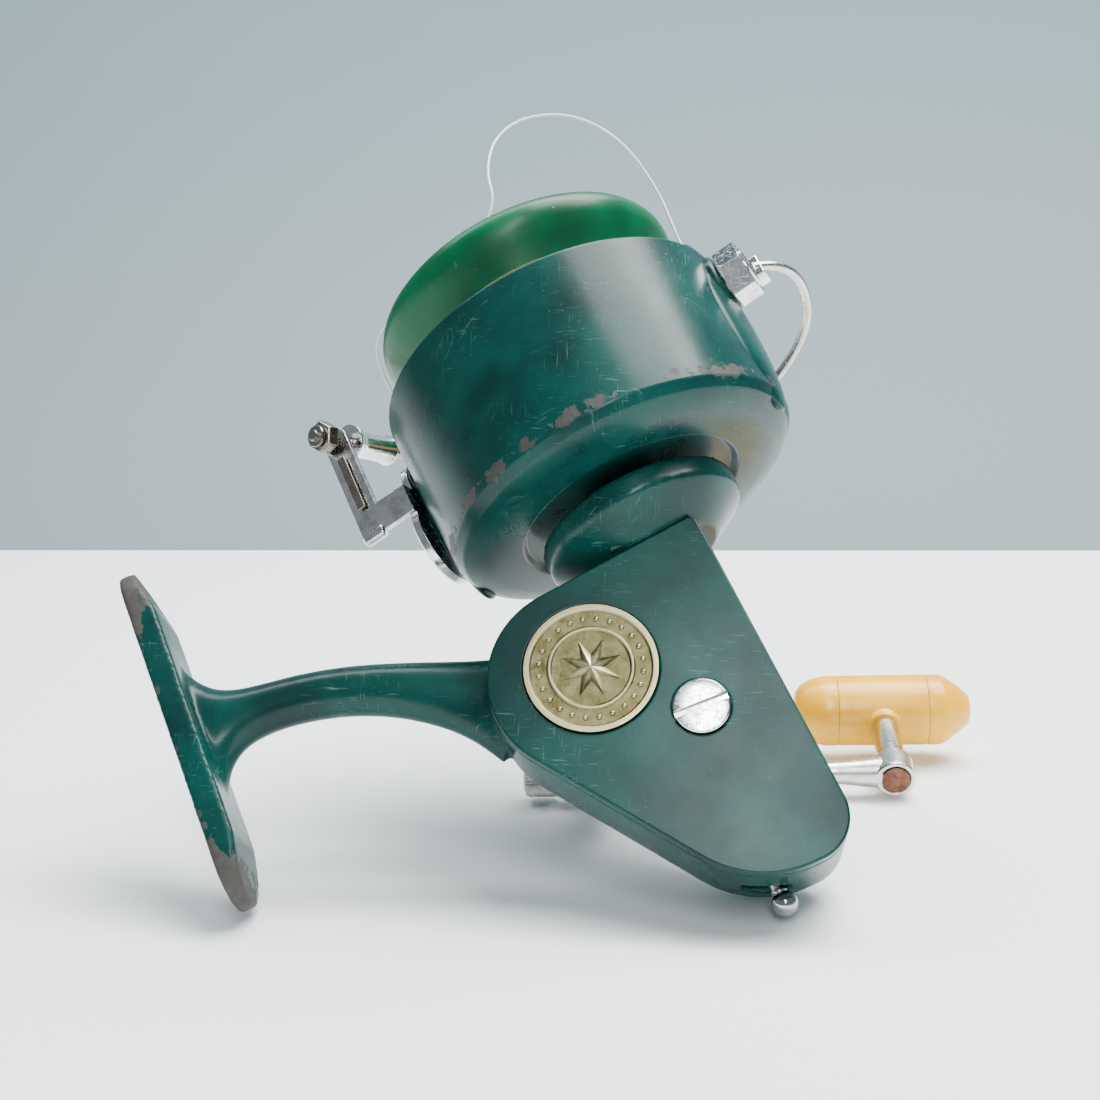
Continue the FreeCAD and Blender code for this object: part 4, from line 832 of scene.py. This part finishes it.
class REEL_OT_crank(bpy.types.Operator):
    """Models the crank: flared arm with its eye, stud and knurled lock nut"""
    bl_idname = "reel.crank"
    bl_label = "Crank"

    def execute(self, context):
        arm = lathed([(2.0, -16.8), (2.2, -16.6), (2.2, -7.4), (2.65, -7.2), (2.65, 5.7), (3.8, 5.8),
                      (3.8, 7.4),
                      (2.8, 8.0), (2.5, 22.0), (2.3, 40.0), (2.5, 47.0), (3.0, 52.0), (3.4, 55.6)], 64,
                      bored=False)
        moved(arm, turned_about("Y", 90))
        eye = eased(lathed([(3.05, -3.2), (4.2, -3.2), (4.2, 3.2), (3.05, 3.2)], 64), 0.45, 4)
        arm = joined(arm, moved(eye, shifted(CRANK_REACH, 0, 0)))
        finished(moved(arm, CRANK), "nickel_crank_arm", "crank", FINISHES["nickel"],
                 ("crank_arm",), 40)
        knurls = context.scene.reel_shapes.knurls
        nut = lathed([(2.25, -0.3), (3.6, 0.0), (4.4, 0.5), (4.6, 1.2), (4.6, 7.0), (4.3, 7.6), (3.4, 8.0)],
                     2 * knurls, bored=False)
        editing()
        bpy.ops.mesh.select_all(action="DESELECT")
        bpy.ops.object.mode_set(mode="OBJECT")
        for vertex in nut.data.vertices:
            turn = math.atan2(vertex.co.y, vertex.co.x) / math.pi * knurls
            vertex.select = round(turn) % 2 == 0 and 1.0 < vertex.co.z < 7.2
        bpy.ops.object.mode_set(mode="EDIT")
        bpy.ops.transform.resize(value=(KNURL_DEPTH, KNURL_DEPTH, 1), center_override=(0, 0, 0))
        bpy.ops.object.mode_set(mode="OBJECT")
        nut_place = CRANK @ shifted(LOCK_NUT_SPOT, 0, 0) @ turned_about("Y", -90)
        finished(moved(nut, nut_place), "knurled_lock_nut", "crank", FINISHES["nickel"],
                 ("crank_lock_nut",), 25)
        stud = lathed([(2.9, -3.1), (2.9, 6.0), (3.0, 6.2), (3.0, 17.6), (2.7, 18.0), (1.8, 18.1),
                       (1.8, 34.8),
                       (1.5, 35.1)], 64, bored=False)
        finished(moved(stud, EYE), "steel_knob_stud", "crank", FINISHES["steel"],
                 ("knob_stud",))
        cap = eased(lathed([(0.4, -3.45), (2.9, -3.4), (3.0, -3.1), (0.4, -3.0)], 48, bored=False), 0.05)
        finished(moved(cap, EYE), "rusted_stud_face", "crank", FINISHES["rust"])
        head = eased(copied("crank_shaft"), 0.0003)
        finished(head, "crank_head", "drive", FINISHES["nickel"], ("crank_shaft",))
        return {"FINISHED"}


class REEL_OT_knob(bpy.types.Operator):
    """Models the amber T knob: barrel between a rounded and a tapered end"""
    bl_idname = "reel.knob"
    bl_label = "Knob"

    def execute(self, context):
        barrel = lathed([(0.5, -9.86), (7.7, -9.86), (7.88, -9.6), (7.9, 0.0), (7.88, 9.6), (7.7, 9.86),
                         (0.5, 9.86)],
                        96, bored=False)
        boss = lathed([(0.5, -8.2), (3.7, -8.2), (4.1, -7.4), (4.3, -6.6)], 48, bored=False)
        barrel = joined(barrel, moved(boss, turned_about("Y", -90)))
        finished(moved(barrel, KNOB), "amber_knob_barrel", "knob", FINISHES["amber"],
                 ("knob_grip",), 40)
        rounded = lathed([(2.6, -19.5), (4.4, -19.1), (5.9, -18.0), (7.0, -16.2), (7.6, -14.2), (7.88, -12.6),
                          (7.9, -10.2), (7.7, -9.92)], 96, bored=False)
        tapered = lathed([(7.7, 9.92), (7.9, 10.2), (7.88, 12.8), (7.3, 14.2), (5.6, 16.6), (3.9, 18.6),
                          (3.2, 19.3),
                          (2.5, 19.5)], 96, bored=False)
        finished(moved(joined(rounded, tapered), KNOB), "amber_knob_ends", "knob",
                 FINISHES["amber"], ("knob_end_caps",), 45)
        return {"FINISHED"}


BALL_RADIUS = 2.3
BALL_STEPS = 22


class REEL_OT_lever_ball(bpy.types.Operator):
    """Models the polished ball of the anti-reverse lever with its collar"""
    bl_idname = "reel.lever_ball"
    bl_label = "Lever ball"

    def execute(self, context):
        angles = [math.pi * step / BALL_STEPS for step in range(1, BALL_STEPS)]
        arc = [(BALL_RADIUS * math.sin(angle), -BALL_RADIUS * math.cos(angle)) for angle in angles]
        ball = lathed(arc, 48, bored=False)
        collar = eased(lathed([(0.6, 1.9), (1.45, 1.9), (1.45, 2.7), (0.6, 2.7)], 40, bored=False), 0.15)
        finished(moved(joined(ball, collar), LEVER_BALL), "polished_lever_ball", "lever",
                 FINISHES["ball"], ("lever_ball",), 40)
        return {"FINISHED"}


class REEL_OT_small_parts(bpy.types.Operator):
    """Softens the edges of the small pieces that show: pivot screws, drag knob, lever and clip"""
    bl_idname = "reel.small_parts"
    bl_label = "Small pieces"

    def execute(self, context):
        edge = context.scene.reel_shapes.edge * MM
        for node, body, slot, key in (
                ("bail_block_screw", "rotor", "bright_chrome", "chrome"),
                ("bail_arm_screw", "rotor", "bright_chrome", "chrome"),
                ("drag_knob", "drag", "green_plastic", "spool"),
                ("anti_reverse_lever", "lever", "turned_steel", "steel"),
                ("knob_clip", "crank", "dark_steel", "dark")):
            finished(eased(copied(node), edge, 2), node + "_finished", body, FINISHES[key], (node,))
        return {"FINISHED"}


# ---- stage: lengths in metres but for the camera's own place, which is in millimetres ------------

CAMERA_SPOT = (-23.2, -268.5, -100.6)
CAMERA_RIGHT = (0.913, 0.097, -0.396)
CAMERA_AHEAD = (0.087, 0.903, 0.421)
CAMERA_LENS = 52.36
SENSOR_WIDTH = 36.0
TABLE_DEPTH = 3.0
TABLE_WIDTH = 8.0
TABLE_THICKNESS = 0.04
TABLE_GAP = 0.0002
BACKDROP_SIZE = (5.0, 12.0)
BACKDROP_BEHIND = 1.2
CARD = (0.90, 0.93, 0.935, 1.0)
# Backdrop colours: pale at the bottom and dark at the top, a painted falloff of light up the backdrop.
BACKDROP_PAINTED_LIGHT_LOW = (0.66, 0.79, 0.83, 1.0)
BACKDROP_PAINTED_SHADE_HIGH = (0.27, 0.40, 0.44, 1.0)
WARM = (1.0, 0.99, 0.97)
COOL = (0.96, 0.99, 1.0)
WASH = (0.94, 0.98, 1.0)
SKY = (0.78, 0.86, 0.90, 1.0)
SKY_STRENGTH = 0.34


def pointed_light(name, place, size, watts, colour, target=(0, 0, 0.06)):
    light = bpy.data.lights.new(name, "AREA")
    light.shape = "RECTANGLE"
    light.size, light.size_y = size
    light.energy = watts
    light.color = colour
    lamp = bpy.data.objects.new(name, light)
    lamp.location = place
    lamp.rotation_euler = (Vector(target) - Vector(place)).to_track_quat("-Z", "Y").to_euler()
    bpy.context.scene.collection.objects.link(lamp)


class REEL_OT_stage(bpy.types.Operator):
    """Sets the camera, the pale table and backdrop and the soft studio light"""
    bl_idname = "reel.stage"
    bl_label = "Stage"

    def execute(self, context):
        camera_data = bpy.data.cameras.new("camera")
        camera_data.lens = CAMERA_LENS
        camera_data.sensor_width = SENSOR_WIDTH
        camera_data.clip_start = 0.01
        camera = bpy.data.objects.new("camera", camera_data)
        axes = REEL.to_3x3().normalized()
        right = (axes @ Vector(CAMERA_RIGHT)).normalized()
        ahead = (axes @ Vector(CAMERA_AHEAD)).normalized()
        upward = right.cross(ahead)
        spot = REEL @ Vector(CAMERA_SPOT)
        camera.matrix_world = Matrix.Translation(spot) @ Matrix((right, upward, -ahead)).transposed().to_4x4()
        context.scene.collection.objects.link(camera)
        context.scene.camera = camera

        edge = spot - ahead * (spot.z / ahead.z)
        level = Vector((upward.x, upward.y, 0)).normalized()
        heading = math.atan2(level.y, level.x)
        nothing_selected()
        bpy.ops.mesh.primitive_cube_add(size=1)
        table = bpy.context.object
        middle = edge - level * TABLE_DEPTH / 2
        centre = (middle.x, middle.y, -TABLE_THICKNESS / 2 - TABLE_GAP)
        table.matrix_world = (Matrix.Translation(centre) @ Matrix.Rotation(heading, 4, "Z")
                              @ Matrix.Diagonal((TABLE_DEPTH, TABLE_WIDTH, TABLE_THICKNESS, 1)))
        bpy.ops.object.transform_apply(location=True, rotation=True, scale=True)
        table.name = "table"
        table.data.materials.append(paper("table_card", CARD, CARD, -1, 1))
        nothing_selected()
        bpy.ops.mesh.primitive_plane_add(size=1)
        backdrop = bpy.context.object
        behind = edge + level * BACKDROP_BEHIND
        backdrop.matrix_world = (Matrix.Translation((behind.x, behind.y, 0.5))
                                 @ Matrix.Rotation(heading, 4, "Z") @ Matrix.Rotation(math.radians(-90), 4,
                                                                                      "Y")
                                 @ Matrix.Diagonal((*BACKDROP_SIZE, 1, 1)))
        bpy.ops.object.transform_apply(location=True, rotation=True, scale=True)
        backdrop.name = "backdrop"
        # The backdrop's tone runs from pale low to dark high: painted shading of the light falling off.
        backdrop.data.materials.append(paper("backdrop_card_painted_falloff", BACKDROP_PAINTED_LIGHT_LOW, BACKDROP_PAINTED_SHADE_HIGH, -0.30, 0.62))

        world = bpy.data.worlds.new("studio")
        world.use_nodes = True
        world.node_tree.nodes["Background"].inputs[0].default_value = SKY
        world.node_tree.nodes["Background"].inputs[1].default_value = SKY_STRENGTH
        context.scene.world = world
        side = level.cross(Vector((0, 0, 1)))
        above = side * 0.25 + level * 0.15 + Vector((0, 0, 0.85))
        pointed_light("top_softbox", tuple(above), (0.8, 0.6), 22.0, WARM)
        before = side * 0.15 - level * 0.55 + Vector((0, 0, 0.50))
        pointed_light("window", tuple(before), (0.10, 0.45), 2.6, COOL)
        beyond = edge + level * 0.1 + Vector((0, 0, 1.6))
        pointed_light("backdrop_wash", tuple(beyond), (3.0, 0.6), 60.0, WASH,
                      tuple(behind + Vector((0, 0, 0.2))))
        return {"FINISHED"}


STEPS = (
    ("inner_works", REEL_OT_inner_works), ("stage", REEL_OT_stage), ("line_loop", REEL_OT_line_loop),
    ("case", REEL_OT_case), ("plate", REEL_OT_plate), ("badge", REEL_OT_badge),
    ("plate_screw", REEL_OT_plate_screw), ("rotor", REEL_OT_rotor), ("spool", REEL_OT_spool),
    ("bail_wire", REEL_OT_bail_wire), ("bail_block", REEL_OT_bail_block), ("bail_arm", REEL_OT_bail_arm),
    ("roller", REEL_OT_roller), ("crank", REEL_OT_crank), ("knob", REEL_OT_knob),
    ("lever_ball", REEL_OT_lever_ball), ("small_parts", REEL_OT_small_parts),
)


class REEL_PT_panel(bpy.types.Panel):
    """Lists the reel's pieces in the order they are made"""
    bl_idname = "REEL_PT_panel"
    bl_label = "Spinning Reel"
    bl_space_type = "VIEW_3D"
    bl_region_type = "UI"
    bl_category = "Reel"

    def draw(self, context):
        layout = self.layout
        for group in (context.scene.reel_finish, context.scene.reel_shapes):
            for name in group.__annotations__:
                layout.prop(group, name)
        for _, operator in STEPS:
            layout.operator(operator.bl_idname)


CLASSES = (ReelFinish, ReelShapes, *(operator for _, operator in STEPS), REEL_PT_panel)


def register():
    for item in CLASSES:
        bpy.utils.register_class(item)
    bpy.types.Scene.reel_finish = PointerProperty(type=ReelFinish)
    bpy.types.Scene.reel_shapes = PointerProperty(type=ReelShapes)


def unregister():
    del bpy.types.Scene.reel_shapes
    del bpy.types.Scene.reel_finish
    for item in reversed(CLASSES):
        bpy.utils.unregister_class(item)


def main():
    register()
    FINISHES.update(make_finishes())
    for name, _ in STEPS:
        getattr(bpy.ops.reel, name)()


if __name__ == "__main__":
    main()
